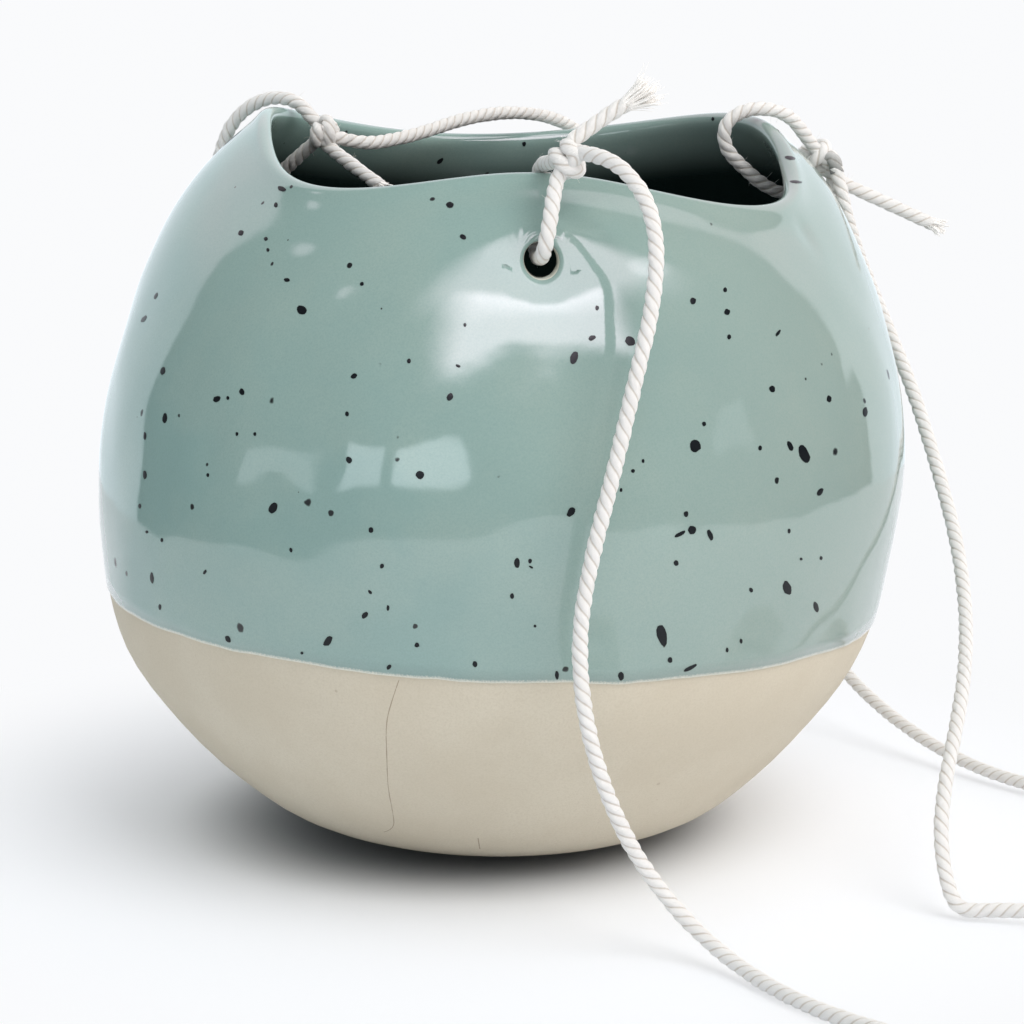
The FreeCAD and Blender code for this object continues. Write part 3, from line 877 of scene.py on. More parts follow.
# %% [markdown]
# ## The glaze
# The pot was dipped upside down, so the glaze ends in a nearly level, slightly wavy line low on
# the outside. It covers the rim and the whole inside, and runs through the holes. It could be
# only a colour on the clay, but the line is a real step about a third of a millimetre high that
# catches the light, so the glaze is a sheet of its own that a Solidify modifier thickens inwards.

# %% The glaze line
DIP_HEIGHT = 54.6
DIP_FALL = 3.6
DIP_WAVE = 0.55
# The waver's broad and fine bumps, the fine ones' share, and where the noise starts
DIP_BROAD, DIP_FINE, DIP_FINE_SHARE = 5.1, 19, 0.35
DIP_SHIFT = Vector((2.7, 0, 1.1))
# Shares of a column between which the glaze line lies
DIP_SHARES = (0.05, 0.4)
dip_shares = {}


def dip_height(turn):
    """Height of the glaze line, which falls to the right and wavers a little."""
    angle = math.radians(turn)
    way = Vector((math.sin(angle), -math.cos(angle), 0))
    waver = noise.noise(way * DIP_BROAD + DIP_SHIFT) + DIP_FINE_SHARE * noise.noise(way * DIP_FINE)
    return DIP_HEIGHT - DIP_FALL * math.sin(angle) + DIP_WAVE * waver


def dip_share(turn):
    key = round(turn, 4)
    if key not in dip_shares:
        dip_shares[key] = share_at_height(turn, dip_height(turn), *DIP_SHARES)
    return dip_shares[key]


print(f"the glaze ends {dip_height(0):.1f} mm above the table at the front")


# %% The glaze as a sheet
GLAZE_HOLE_RINGS = (
    (6.1, 0.0), (5.6, 0.0), (5.2, 0.0), (4.8, 0.0), (4.45, 0.02), (4.1, 0.14), (3.78, 0.42),
    (3.58, 0.85), (3.5, 1.35),
)
GLASS = 0.55
glaze_shape = pot_shape(GLAZE, dip_share, GLAZE_HOLE_RINGS)
glaze_coat = pot_piece("glaze", glaze_shape, 0, FLOOR + 2)
body = glaze_coat.modifiers.new("glass thickness", "SOLIDIFY")
body.thickness = GLASS * MM
body.offset = -1

# %% Where the glaze is thin, and where the inside is painted darker as shade
# How thin the glaze runs over the lip, and how far that reaches there, at its line and at a hole
LIP_THIN, LIP_REACH = 0.68, 0.5
LINE_REACH = 0.16
HOLE_EDGE, HOLE_REACH = 3.55, 0.24
# The painted shade inside starts this far past the lip along the wall, and this deep below the rim
INSIDE_SHADE_SHARE = 0.04
INSIDE_SHADE_START, INSIDE_SHADE_DEPTH = 5, 10


def mark_glaze(mesh):
    """Write how thin the glaze is at each point, and how much painted shade darkens the inside, for its
    material.
    """
    thin = mesh.attributes.new("thin", "FLOAT", "POINT")
    inside_shade = mesh.attributes.new("inside_shade", "FLOAT", "POINT")
    shares = mesh.attributes["share"].data
    for index, vert in enumerate(mesh.vertices):
        point = vert.co / MM
        turn = math.degrees(math.atan2(point.x - LIP_LEAN * LEAN, -point.y))
        share = shares[index].value
        top = POT_HEIGHT + wave_sum(RIM_WAVES, turn)
        edge = math.exp(-(max(top - point.z, 0) / LIP_REACH) ** 2) * LIP_THIN
        if share < LIP_SHARE:
            line = dip_height(math.degrees(math.atan2(point.x, -point.y)))
            edge = max(edge, math.exp(-max(point.z - line, 0) / LINE_REACH))
        for ear in ties:
            out, right, up = hole_offset(ear, point)
            if out > -HOLE_BEHIND:
                away = max(math.hypot(right, up) - HOLE_EDGE, 0)
                edge = max(edge, math.exp(-(away / HOLE_REACH) ** 2))
        thin.data[index].value = edge
        # Painted shade inside: it grows past the lip and with depth below the rim
        depth = eased((top - point.z - INSIDE_SHADE_START) / INSIDE_SHADE_DEPTH)
        inside_shade.data[index].value = eased((share - LIP_SHARE) / INSIDE_SHADE_SHARE) * depth


mark_glaze(glaze_coat.data)
print("glaze attributes:", ", ".join(glaze_coat.data.attributes.keys()))

# %% [markdown]
# ## The band round each coil
# The spare cord is held by a short cotton tape. It could be a plain box ring, but a tape bends
# round the bundle with soft corners. A circle's points are moved to a rounded rectangle, and its
# edges are extruded to the width of the tape.

# %% Coil bands
BAND = 0.8
BAND_WIDTH = 5.0
BAND_GAP = 0.3
BAND_CORNER = 2.4
BAND_STEPS = 6
BAND_ROWS = 4


def coil_band(ear):
    """A soft tape round the bundle of turns, where the solid band is."""
    clear = CORD / 2 + BAND_GAP + BAND / 2
    half_height = COIL_STEP / 2 + clear
    half_reach = (COIL_OUTER - COIL_INNER) / 2 + clear
    way = coil_ways[ear]
    bundle = coil_centres[ear] - way * COIL_MIDDLE
    bundle.z = RUNS[ear][-1][2] + COIL_STEP / 2
    shape = bmesh.new()
    ring = bmesh.ops.create_circle(shape, segments=4 * (BAND_STEPS + 1), radius=1)["verts"]
    for index, vert in enumerate(ring):
        quarter, step = divmod(index, BAND_STEPS + 1)
        angle = math.pi / 2 * (quarter + step / BAND_STEPS)
        across, up = (1, -1, -1, 1)[quarter], (1, 1, -1, -1)[quarter]
        corner = Vector((across * (half_reach - BAND_CORNER), 0, up * (half_height - BAND_CORNER)))
        vert.co = corner + Vector((math.cos(angle), 0, math.sin(angle))) * BAND_CORNER
    edges = shape.edges[:]
    for _ in range(BAND_ROWS):
        edges, verts = extruded(shape, edges)
        bmesh.ops.translate(shape, vec=(0, BAND_WIDTH / BAND_ROWS, 0), verts=verts)
    bmesh.ops.translate(shape, vec=(0, -BAND_WIDTH / 2, 0), verts=shape.verts)
    bmesh.ops.recalc_face_normals(shape, faces=shape.faces)
    turn = Matrix.Rotation(math.atan2(way.y, way.x), 4, "Z")
    bmesh.ops.transform(shape, matrix=Matrix.Translation(bundle) @ turn, verts=shape.verts)
    bmesh.ops.scale(shape, vec=(MM, MM, MM), verts=shape.verts)
    band = new_object(f"{ear}_coil_band", shape)
    thick = band.modifiers.new("tape", "SOLIDIFY")
    thick.thickness = BAND * MM
    thick.offset = 0
    soft = band.modifiers.new("soft edge", "BEVEL")
    soft.width = BAND * MM / 3
    soft.segments = 2
    return band


bands = {ear: coil_band(ear) for ear in RUNS}
print("bands:", ", ".join(band.name for band in bands.values()))

# %% [markdown]
# ## Materials
# Each finish is a small chain of noises, so that it looks the same from every side and needs no
# picture. What several finishes share, such as a fine grain or scattered specks, is a node group
# with its own sockets. The groups read Object coordinates, which don't slide when a piece moves.

# %% Helpers for nodes
def new_group(name, inputs, outputs):
    """A node group with number or colour sockets, and its input and output nodes."""
    group = bpy.data.node_groups.new(name, "ShaderNodeTree")
    kinds = {"number": "NodeSocketFloat", "vector": "NodeSocketVector", "colour": "NodeSocketColor"}
    for label, kind, value in inputs:
        socket = group.interface.new_socket(name=label, in_out="INPUT", socket_type=kinds[kind])
        if value is not None:
            socket.default_value = value
    for label, kind in outputs:
        group.interface.new_socket(name=label, in_out="OUTPUT", socket_type=kinds[kind])
    return group, group.nodes.new("NodeGroupInput"), group.nodes.new("NodeGroupOutput")


class Tree:
    """Short names for adding and joining nodes."""

    def __init__(self, tree):
        self.tree = tree

    def put(self, node, values):
        """Set a node's inputs: a socket is joined, and anything else is its value."""
        for socket, value in values.items():
            if isinstance(value, bpy.types.NodeSocket):
                self.tree.links.new(value, node.inputs[socket])
            else:
                node.inputs[socket].default_value = value

    def add(self, kind, values=(), **settings):
        node = self.tree.nodes.new("ShaderNode" + kind)
        for key, value in settings.items():
            setattr(node, key, value)
        self.put(node, dict(values))
        return node

    def math(self, operation, first, second=0.0):
        return self.add("Math", {0: first, 1: second}, operation=operation).outputs[0]

    def ramp(self, value, low, high, start=0.0, end=1.0):
        """A smooth step from start to end while value goes from low to high."""
        node = self.add(
            "MapRange", {0: value, 1: low, 2: high, 3: start, 4: end}, interpolation_type="SMOOTHSTEP",
        )
        return node.outputs[0]

    def noise(self, vector, scale, detail=2.0, roughness=0.5):
        settings = {"Vector": vector, "Scale": scale, "Detail": detail, "Roughness": roughness}
        return self.add("TexNoise", settings).outputs["Fac"]

    def blend(self, amount, first, second):
        """Mix of two colours."""
        values = {0: amount, 6: opaque(first), 7: opaque(second)}
        return self.add("Mix", values, data_type="RGBA").outputs[2]

    def bump(self, height, strength, distance):
        values = {"Strength": strength, "Distance": distance, "Height": height}
        return self.add("Bump", values).outputs[0]


def opaque(colour):
    """A colour with its alpha. A socket stays as it is."""
    return colour if isinstance(colour, bpy.types.NodeSocket) else (*colour, 1.0)


def new_material(name):
    """A material with its tree, its Principled shader and Object coordinates."""
    material = bpy.data.materials.new(name)
    material.use_nodes = True
    tree = Tree(material.node_tree)
    shader = material.node_tree.nodes["Principled BSDF"]
    place = tree.add("TexCoord").outputs["Object"]
    return material, tree, shader, place


def plain_material(name, colour, roughness, mirror=None):
    """A material of one colour. mirror is its specular level, where it isn't the usual one."""
    material, tree, shader, _ = new_material(name)
    tree.put(shader, {"Base Color": opaque(colour), "Roughness": roughness})
    if mirror:
        tree.put(shader, {"Specular IOR Level": mirror})
    return material


# %% Shared effects: specks and grain
group, given, out = new_group(
    "specks",
    [
        ("Place", "vector", None), ("Scale", "number", 100.0),
        ("Share", "number", 0.3), ("Size", "number", 0.3),
    ],
    [("Mask", "number")],
)
tree = Tree(group)
cells = tree.add("TexVoronoi", {"Vector": given.outputs["Place"], "Scale": given.outputs["Scale"]})
chance = tree.add("SeparateColor", {0: cells.outputs["Color"]})
kept = tree.math("LESS_THAN", chance.outputs[0], given.outputs["Share"])
reach = tree.math("MULTIPLY", given.outputs["Size"], tree.ramp(chance.outputs[1], 0.0, 1.0, 0.35, 1.0))
edge = tree.math("DIVIDE", cells.outputs["Distance"], reach)
mask = tree.math("MULTIPLY", tree.ramp(edge, 0.75, 1.1, 1.0, 0.0), kept)
group.links.new(mask, out.inputs["Mask"])
SPECKS = group

group, given, out = new_group(
    "fine_grain",
    [("Place", "vector", None), ("Scale", "number", 1500.0), ("Coarse", "number", 260.0)],
    [("Grain", "number"), ("Cloud", "number")],
)
tree = Tree(group)
fine = tree.noise(given.outputs["Place"], given.outputs["Scale"], 3.0, 0.65)
cloud = tree.noise(given.outputs["Place"], given.outputs["Coarse"], 3.0, 0.55)
group.links.new(fine, out.inputs["Grain"])
group.links.new(cloud, out.inputs["Cloud"])
GRAIN = group


def speck_mask(tree, place, scale, share, size):
    """Scattered specks: how close their cells lie, how many cells have one, and how big it is."""
    values = {"Place": place, "Scale": scale, "Share": share, "Size": size}
    return tree.add("Group", values, node_tree=SPECKS).outputs["Mask"]


def grain_of(tree, place, scale, coarse):
    """(fine grain, broad clouds) of a surface."""
    node = tree.add("Group", {"Place": place, "Scale": scale, "Coarse": coarse}, node_tree=GRAIN)
    return node.outputs["Grain"], node.outputs["Cloud"]


print("groups:", SPECKS.name, GRAIN.name)

# %% [markdown]
# ## Iron specks
# Iron grains in the clay bleed through the glaze as black specks of very different sizes. The
# fine ones are a pattern in the glaze's material. Each larger one is a thin domed spot that lies
# on the glaze: those on the front are placed where the photograph shows them, and those on the
# back by chance. A painted image could hold them all, but these stay crisp from close by.

# %% The specks in the picture
# Each speck: place across and down in the picture, its length and width in pixels, and its lean
SEEN_SPECKS = (
    (302, 310, 10, 9, 60), (695, 446, 13, 11, 10), (804, 454, 20, 10, 22), (662, 635, 22, 10, 12),
    (420, 475, 9, 8, 70), (349, 460, 7, 6, 20), (574, 358, 13, 8, -15), (630, 341, 11, 9, 40),
    (693, 301, 7, 6, 0), (450, 205, 8, 6, 90), (463, 237, 7, 5, 60), (450, 397, 8, 6, -30),
    (217, 399, 8, 6, -70), (163, 371, 8, 5, -10), (165, 418, 10, 5, -5), (145, 475, 9, 4, 5),
    (273, 508, 12, 8, -35), (328, 641, 12, 7, -35), (787, 588, 14, 8, 18), (571, 512, 11, 7, -35),
    (517, 563, 10, 6, 0), (692, 530, 9, 8, 0), (680, 534, 13, 4, -62), (710, 535, 12, 5, 20),
    (829, 399, 7, 5, 0), (772, 389, 7, 6, 30), (790, 158, 10, 4, 82), (796, 182, 12, 3, 85),
    (152, 578, 11, 4, 5), (160, 607, 6, 3, 5), (686, 514, 6, 5, 0), (704, 424, 5, 4, 0),
    (760, 448, 5, 4, 0), (633, 471, 4, 4, 0), (643, 461, 4, 3, 0), (621, 490, 4, 3, 0),
    (790, 446, 11, 5, 25), (820, 492, 9, 5, -35), (865, 412, 10, 5, 0), (727, 312, 6, 6, 0),
    (725, 290, 5, 4, 0), (597, 308, 5, 4, 0), (592, 338, 8, 5, -70), (778, 333, 8, 3, -35),
    (729, 337, 5, 4, 0), (371, 530, 6, 5, 0), (242, 392, 7, 5, 20), (145, 436, 8, 3, 0),
    (241, 233, 6, 5, -40), (282, 189, 9, 5, 70), (276, 205, 5, 4, 0), (287, 280, 6, 4, 80),
    (354, 376, 7, 5, -60), (409, 361, 5, 4, 0), (347, 414, 5, 4, 0), (266, 239, 4, 4, 0),
    (268, 250, 4, 3, 0), (362, 284, 4, 4, 0), (156, 296, 7, 3, -25), (144, 319, 8, 4, -40),
    (228, 398, 4, 3, 0), (237, 434, 4, 3, 0), (255, 434, 4, 3, 0), (208, 475, 4, 3, 0),
    (465, 325, 4, 3, 0), (458, 366, 5, 3, 70), (140, 506, 5, 3, 0), (147, 532, 3, 3, 0),
    (162, 540, 4, 3, 0), (205, 572, 5, 3, -30), (228, 639, 8, 5, 30), (291, 550, 5, 3, 10),
    (302, 653, 3, 3, 0), (365, 615, 8, 5, -40), (370, 592, 5, 3, 40), (382, 566, 5, 4, -20),
    (388, 608, 6, 3, 0), (389, 667, 6, 4, -40), (417, 645, 5, 5, 0), (475, 664, 6, 5, 0),
    (530, 561, 5, 4, 0), (531, 567, 5, 2, 60), (512, 596, 6, 4, 0), (535, 626, 3, 3, 0),
    (557, 675, 9, 4, 5), (676, 563, 6, 5, 0), (670, 660, 6, 5, 0), (690, 668, 15, 4, -62),
    (621, 676, 9, 6, 0), (727, 650, 5, 3, 0), (741, 641, 5, 3, 0), (751, 590, 5, 4, 20),
    (816, 607, 11, 5, 15), (801, 559, 3, 3, 0), (821, 558, 4, 3, 0), (789, 531, 5, 3, 0),
    (440, 161, 8, 4, -50), (524, 144, 5, 4, 0), (713, 119, 4, 3, 0),
)
print("specks in the picture:", len(SEEN_SPECKS))

# %% One spot
SPOT_SIDES = 12
SPOT_RISE = 0.05
SPOT_UNEVEN = 0.2
# Its inner ring, as a share of its radius
SPOT_INNER = 0.5
# How much more its middle rises than its edge, and how fast its outline changes
SPOT_DOME = 0.4
SPOT_BUMPS = 1.3
# A spot whose points lie further apart than this would span two walls, and is left out
SPOT_LIMIT = 7.0


def seen_on(piece, across, down):
    """Where the view through a picture place first meets a piece, and the way it faces there."""
    hit, place, normal, _ = piece.ray_cast(CAMERA_PLACE, view_ray(across, down))
    return (place, normal) if hit else None


def add_spot(shape, place_at):
    """A thin domed spot. place_at(x, y) gives the surface, and its facing, at a place in a circle."""
    shift = Vector((len(shape.verts), 0, 0))
    outer = bmesh.ops.create_circle(shape, cap_ends=True, segments=SPOT_SIDES, radius=1)["verts"]
    (face,) = outer[0].link_faces
    bmesh.ops.inset_individual(shape, faces=[face], thickness=1 - SPOT_INNER)
    inner = list(face.verts)
    made = outer + inner + bmesh.ops.poke(shape, faces=[face])["verts"]
    found = []
    for vert in made:
        uneven = 1 + SPOT_UNEVEN * noise.noise(vert.co * SPOT_BUMPS + shift)
        found.append(place_at(vert.co.x * uneven, vert.co.y * uneven))
    if None in found or max((place - found[-1][0]).length for place, _ in found) > SPOT_LIMIT * MM:
        bmesh.ops.delete(shape, geom=made, context="VERTS")
        return
    for vert, (place, facing) in zip(made, found):
        vert.co = place + facing * SPOT_RISE * MM * (1 + SPOT_DOME - SPOT_DOME * vert.co.length)


def seen_spot(across, down, length, width, lean):
    """Where a speck's circle lands when it is drawn in the picture."""
    cosine, sine = math.cos(math.radians(lean)), math.sin(math.radians(lean))

    def place_at(x, y):
        x, y = x * width / 2, y * length / 2
        return seen_on(glaze_coat, across + x * cosine - y * sine, down - x * sine - y * cosine)

    return place_at


# Each spot on the back is found from this far outside the wall, in millimetres
RAY_START = 5.0


def back_spot(turn, share, length, width, lean):
    """Where a speck's circle lands when it is drawn straight onto the wall."""
    middle = surface_point(turn, share, GLAZE) * MM
    outward = Vector((middle.x, middle.y, 0)).normalized()
    aside = Matrix.Rotation(lean, 3, outward) @ Vector((-outward.y, outward.x, 0))
    along = outward.cross(aside)

    def place_at(x, y):
        start = middle + (aside * x * width + along * y * length) * MM / 2 + outward * RAY_START * MM
        hit, place, facing, _ = glaze_coat.ray_cast(start, -outward)
        return (place, facing) if hit else None

    return place_at


# %% All the spots
spot_shape = bmesh.new()
for speck in SEEN_SPECKS:
    add_spot(spot_shape, seen_spot(*speck))
# How many specks are tried on the back, where, how wide, and how far above the glaze line
BACK_SPECKS = 90
BACK_TURNS, BACK_SHARES = (95, 265), (0.2, 0.5)
BACK_WIDTH, BACK_GROWTH = 0.6, 2.2
BACK_CLEAR = 3
# How much longer than wide it is, and its lean in radians
BACK_LENGTHS, BACK_LEANS = (1.0, 1.8), (-0.9, 0.9)
luck = random.Random(4)
for _ in range(BACK_SPECKS):
    turn, share = luck.uniform(*BACK_TURNS), luck.uniform(*BACK_SHARES)
    width = BACK_WIDTH + BACK_GROWTH * luck.random() ** 3
    if surface_point(turn, share, GLAZE).z > dip_height(turn) + BACK_CLEAR:
        length, lean = width * luck.uniform(*BACK_LENGTHS), luck.uniform(*BACK_LEANS)
        add_spot(spot_shape, back_spot(turn, share, length, width, lean))
bmesh.ops.recalc_face_normals(spot_shape, faces=spot_shape.faces)
specks = new_object("iron_specks", spot_shape)
print("specks:", len(specks.data.polygons), "faces")

# %% Hair lines in the clay
# Each line: its width in millimetres, and its places in the picture
SEEN_LINES = (
    (0.26, ((399, 680), (392, 700), (386, 722), (387, 755), (388, 788), (393, 812), (395, 829), (384, 832))),
    (0.30, ((478, 838), (480, 849))),
)
# Its points' spacing and its rise in millimetres, the rise in its middle, and how its width varies
LINE_SPACING = 1.5
LINE_RISE = 0.03
LINE_MIDDLE = 1.3
LINE_WIDTH, LINE_UNEVEN, LINE_BUMPS = 0.75, 0.5, 700
line_shape = bmesh.new()
for width, places in SEEN_LINES:
    found = [seen_on(clay_body, across, down) for across, down in places]
    line = smooth_line([place for place, _ in filter(None, found)], LINE_SPACING * MM)
    made = bmesh.ops.create_grid(line_shape, x_segments=2, y_segments=len(line) - 1, size=1)["verts"]
    for vert in made:
        ring = round((vert.co.y + 1) / 2 * (len(line) - 1))
        _, place, facing, _ = clay_body.closest_point_on_mesh(line[ring])
        wide = width * MM / 2 * (LINE_WIDTH + LINE_UNEVEN * noise.noise(place * LINE_BUMPS))
        rise = LINE_RISE * MM * (LINE_MIDDLE - abs(vert.co.x))
        sideways = facing.cross(direction_at(line, ring))
        vert.co = place + sideways * vert.co.x * wide + facing * rise
bmesh.ops.recalc_face_normals(line_shape, faces=line_shape.faces)
clay_lines = new_object("clay_hair_lines", line_shape)
print("hair lines:", len(clay_lines.data.polygons), "faces")

# %% [markdown]
# ## Glaze
# The glaze is a cool sage green glass, a little more olive to the right. Inside the bowl it is
# painted darker with depth below the rim, as painted shade where thicker glaze also pools, and it
# is paler where it runs thin over the lip, round the holes and at its lower edge. Both are written
# on the mesh as attributes and read here, so they follow its shape.

# %% Glaze material
SAGE_DEEP, SAGE_PALE = (0.235, 0.355, 0.335), (0.28, 0.395, 0.365)
SAGE_CLOUD, SAGE_GRAIN = (0.32, 0.415, 0.375), (0.19, 0.30, 0.275)
SAGE_OLIVE = (0.275, 0.315, 0.285)
# Colour of the painted shade deep inside the bowl
PAINTED_SHADE_GLAZE = (0.004, 0.012, 0.011)
THIN_GLAZE = (0.72, 0.72, 0.63)
IRON = (0.006, 0.008, 0.009)
# How far the specks' outlines are bent, in metres
SPECK_BEND = 0.0007
glaze_material, tree, shader, place = new_material("sage_glaze")
grain, cloud = grain_of(tree, place, 2600.0, 45.0)
colour = tree.blend(tree.ramp(tree.noise(place, 14.0), 0.3, 0.7), SAGE_DEEP, SAGE_PALE)
colour = tree.blend(tree.ramp(cloud, 0.35, 0.75, 0.0, 0.5), colour, SAGE_CLOUD)
across = tree.add("SeparateXYZ", {0: place}).outputs["X"]
colour = tree.blend(tree.ramp(across, -0.02, 0.08, 0.0, 0.6), colour, SAGE_OLIVE)
colour = tree.blend(tree.ramp(grain, 0.3, 0.8, 0.0, 0.4), colour, SAGE_GRAIN)
# Painted shade inside the bowl, almost black deep below the rim, where thicker glaze also pools
inside_shade = tree.add("Attribute", attribute_name="inside_shade").outputs["Fac"]
colour = tree.blend(tree.math("MULTIPLY", inside_shade, 0.98), colour, PAINTED_SHADE_GLAZE)
thin = tree.add("Attribute", attribute_name="thin").outputs["Fac"]
uneven = tree.math("MULTIPLY", tree.math("SUBTRACT", grain, 0.5), 0.3)
colour = tree.blend(tree.ramp(tree.math("ADD", thin, uneven), 0.76, 0.98), colour, THIN_GLAZE)

bent = tree.add("TexNoise", {"Vector": place, "Scale": 700.0, "Detail": 1.0}).outputs["Color"]
bent = tree.add("VectorMath", {0: bent, 1: (SPECK_BEND,) * 3}, operation="MULTIPLY").outputs[0]
bent = tree.add("VectorMath", {0: place, 1: bent}, operation="ADD").outputs[0]
small, large = speck_mask(tree, bent, 300.0, 0.05, 0.22), speck_mask(tree, bent, 130.0, 0.10, 0.19)
iron = tree.math("MAXIMUM", small, large)
waves = tree.math("MULTIPLY", tree.noise(place, 120.0, 2.0, 0.4), 0.35)
height = tree.math("ADD", waves, tree.math("MULTIPLY", grain, 0.02))
tree.put(shader, {
    "Base Color": tree.blend(iron, colour, IRON),
    "Roughness": tree.ramp(iron, 0.0, 1.0, 0.06, 0.3),
    "IOR": 1.57,
    "Normal": tree.bump(height, 0.25, 0.0006),
})
iron_material = plain_material("iron_speck", (0.006, 0.008, 0.010), 0.3, 0.25)
print("glaze nodes:", len(glaze_material.node_tree.nodes))

# %% [markdown]
# ## Bare clay
# Below the glaze the stoneware is a warm matte beige with a very fine grain, a few darker and
# lighter clouds, and hair lines where the slip dried.

# %% Clay material
CLAY_DEEP, CLAY_PALE = (0.575, 0.52, 0.415), (0.615, 0.565, 0.46)
CLAY_GRAIN, CLAY_DOTS = (0.51, 0.455, 0.355), (0.30, 0.22, 0.15)
clay_material, tree, shader, place = new_material("bare_clay")
grain, cloud = grain_of(tree, place, 2200.0, 38.0)
colour = tree.blend(tree.ramp(cloud, 0.3, 0.7), CLAY_DEEP, CLAY_PALE)
colour = tree.blend(tree.ramp(grain, 0.35, 0.75, 0.0, 0.5), colour, CLAY_GRAIN)
dots = tree.math("MULTIPLY", speck_mask(tree, place, 240.0, 0.05, 0.12), 0.35)
tree.put(shader, {
    "Base Color": tree.blend(dots, colour, CLAY_DOTS),
    "Roughness": 0.85,
    "Specular IOR Level": 0.3,
    "Normal": tree.bump(grain, 0.35, 0.0002),
})
line_material = plain_material("dry_slip", (0.36, 0.30, 0.22), 0.9)
print("clay nodes:", len(clay_material.node_tree.nodes))

# %% [markdown]
# ## Cotton
# The strands are spun from fine yarns, so thin lines run along each strand, and the grooves
# between the strands are painted a little tan, as dust and as painted shade. The short lead behind
# the right knot is painted darker as it goes down, as painted shade inside the ear.

# %% Cotton material
# The right lead is painted darker with depth below the rim, as painted shade inside the ear
SHADED_FROM, SHADED_DEPTH = 158.0, 14
SHADED = 0.9
lead_painted_shade = leads["right"].data.attributes.new("lead_painted_shade", "FLOAT", "POINT")
for vert, mark in zip(leads["right"].data.vertices, lead_painted_shade.data):
    mark.value = eased((SHADED_FROM - vert.co.z / MM) / SHADED_DEPTH) * SHADED
COTTON_DEEP, COTTON_PALE = (0.95, 0.935, 0.91), (0.97, 0.96, 0.94)
# Colours of the dust and painted shade in the grooves, and of the painted shade on the right lead
GROOVE_DUST_AND_SHADE, COTTON_YARN = (0.56, 0.47, 0.38), (0.66, 0.60, 0.53)
COTTON_PAINTED_SHADE = (0.07, 0.085, 0.08)
# The yarns' lines: how many radians they turn round the cord and along one lay of it
YARN_AROUND, YARN_ALONG = 190.0, -42.0
cotton, tree, shader, place = new_material("twisted_cotton")
lay = tree.add("SeparateXYZ", {0: tree.add("UVMap", uv_map="lay").outputs[0]})
strand = tree.math("FRACT", tree.math("MULTIPLY", lay.outputs["X"], float(STRANDS)))
middle = tree.math("ABSOLUTE", tree.math("SUBTRACT", strand, 0.5))
middle = tree.math("ADD", middle, tree.math("MULTIPLY", tree.noise(place, 900.0), 0.10))
groove = tree.ramp(middle, 0.04, 0.22, 1.0, 0.0)
around = tree.math("MULTIPLY", lay.outputs["X"], YARN_AROUND)
along = tree.math("MULTIPLY", lay.outputs["Y"], YARN_ALONG)
yarn = tree.math("SINE", tree.math("ADD", around, along))
colour = tree.blend(tree.ramp(tree.noise(place, 160.0), 0.3, 0.7), COTTON_DEEP, COTTON_PALE)
# The grooves between the strands take dust and painted shade
colour = tree.blend(tree.math("MULTIPLY", groove, 0.6), colour, GROOVE_DUST_AND_SHADE)
colour = tree.blend(tree.ramp(yarn, 0.1, 1.0, 0.0, 0.17), colour, COTTON_YARN)
# Painted shade on the right lead
shade = tree.add("Attribute", attribute_name="lead_painted_shade").outputs["Fac"]
height = tree.math("ADD", tree.math("MULTIPLY", yarn, 0.5), tree.noise(place, 1800.0, 3.0, 0.6))
height = tree.math("SUBTRACT", height, tree.math("MULTIPLY", groove, 1.2))
tree.put(shader, {
    "Base Color": tree.blend(shade, colour, COTTON_PAINTED_SHADE),
    "Roughness": 0.9,
    "Specular IOR Level": 0.2,
    "Sheen Weight": 0.25,
    "Normal": tree.bump(height, 0.7, 0.0002),
})
fluff_material = plain_material("loose_cotton", (0.92, 0.90, 0.87), 0.9, 0.2)
print("cotton nodes:", len(cotton.node_tree.nodes))

# %% Tape material
TAPE_DEEP, TAPE_PALE = (0.78, 0.75, 0.70), (0.86, 0.84, 0.80)
tape, tree, shader, place = new_material("cotton_tape")
weave = tree.add("TexWave", {"Vector": place, "Scale": 900.0, "Distortion": 1.5}).outputs["Fac"]
tree.put(shader, {
    "Base Color": tree.blend(weave, TAPE_DEEP, TAPE_PALE),
    "Roughness": 0.9,
    "Normal": tree.bump(weave, 0.4, 0.0001),
})

# %% Each piece gets its material
for pieces, material in (
    ([clay_body], clay_material), ([glaze_coat], glaze_material),
    ([specks], iron_material), ([clay_lines], line_material),
    (fibres.values(), fluff_material), (bands.values(), tape),
    ([*long_cords.values(), *tie_cords.values(), *leads.values()], cotton),
):
    for piece in pieces:
        piece.data.materials.append(material)
    print(material.name, "on", len(pieces))

# %% Each piece on its body
# Length of each long cord that bends with its tie, in millimetres
BEND_LENGTH = 40
for ear, cord in long_cords.items():
    line = cord_lines[ear]
    knot = ear_place(ear, KNOTS[ear][0])
    steady = line[int(BEND_LENGTH * MM / RING_SPACING)]
    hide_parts(f"{ear}_coil_tie")
    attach(bands[ear], "pot")
    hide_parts(f"{ear}_cord_run", f"{ear}_cord_coil")
    tuple(line[0])
    round(line_length(line), 3)
    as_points(line)
    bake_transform(cord, f"{ear}_tie", "pot", start=tuple(knot), end=tuple(steady))
    tie = tie_cords[ear]
    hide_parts(f"{ear}_cord_loop", f"{ear}_cord_knot", f"{ear}_cord_tail")
    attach(tie, f"{ear}_tie")
    for piece in (fibres[ear], leads[ear]):
        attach(piece, f"{ear}_tie")
    print(ear, "tie turns with its joint, and its cord bends over", BEND_LENGTH, "mm")
for piece, slot in ((specks, "glaze"), (clay_lines, "clay")):
    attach(piece, "pot")
for piece, node, slot in ((clay_body, "clay_body", "clay"), (glaze_coat, "glaze_coat", "glaze")):
    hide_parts(node)
    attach(piece, "pot")

# %% [markdown]
# ## The studio
# The planter stands on a white sweep in soft light from all round, a little brighter and warmer
# from the right. A broad lamp above and in front gives the clay its form. The room in front of
# the table is darker than the sweep, which is what the glaze mirrors in the middle of the bowl.

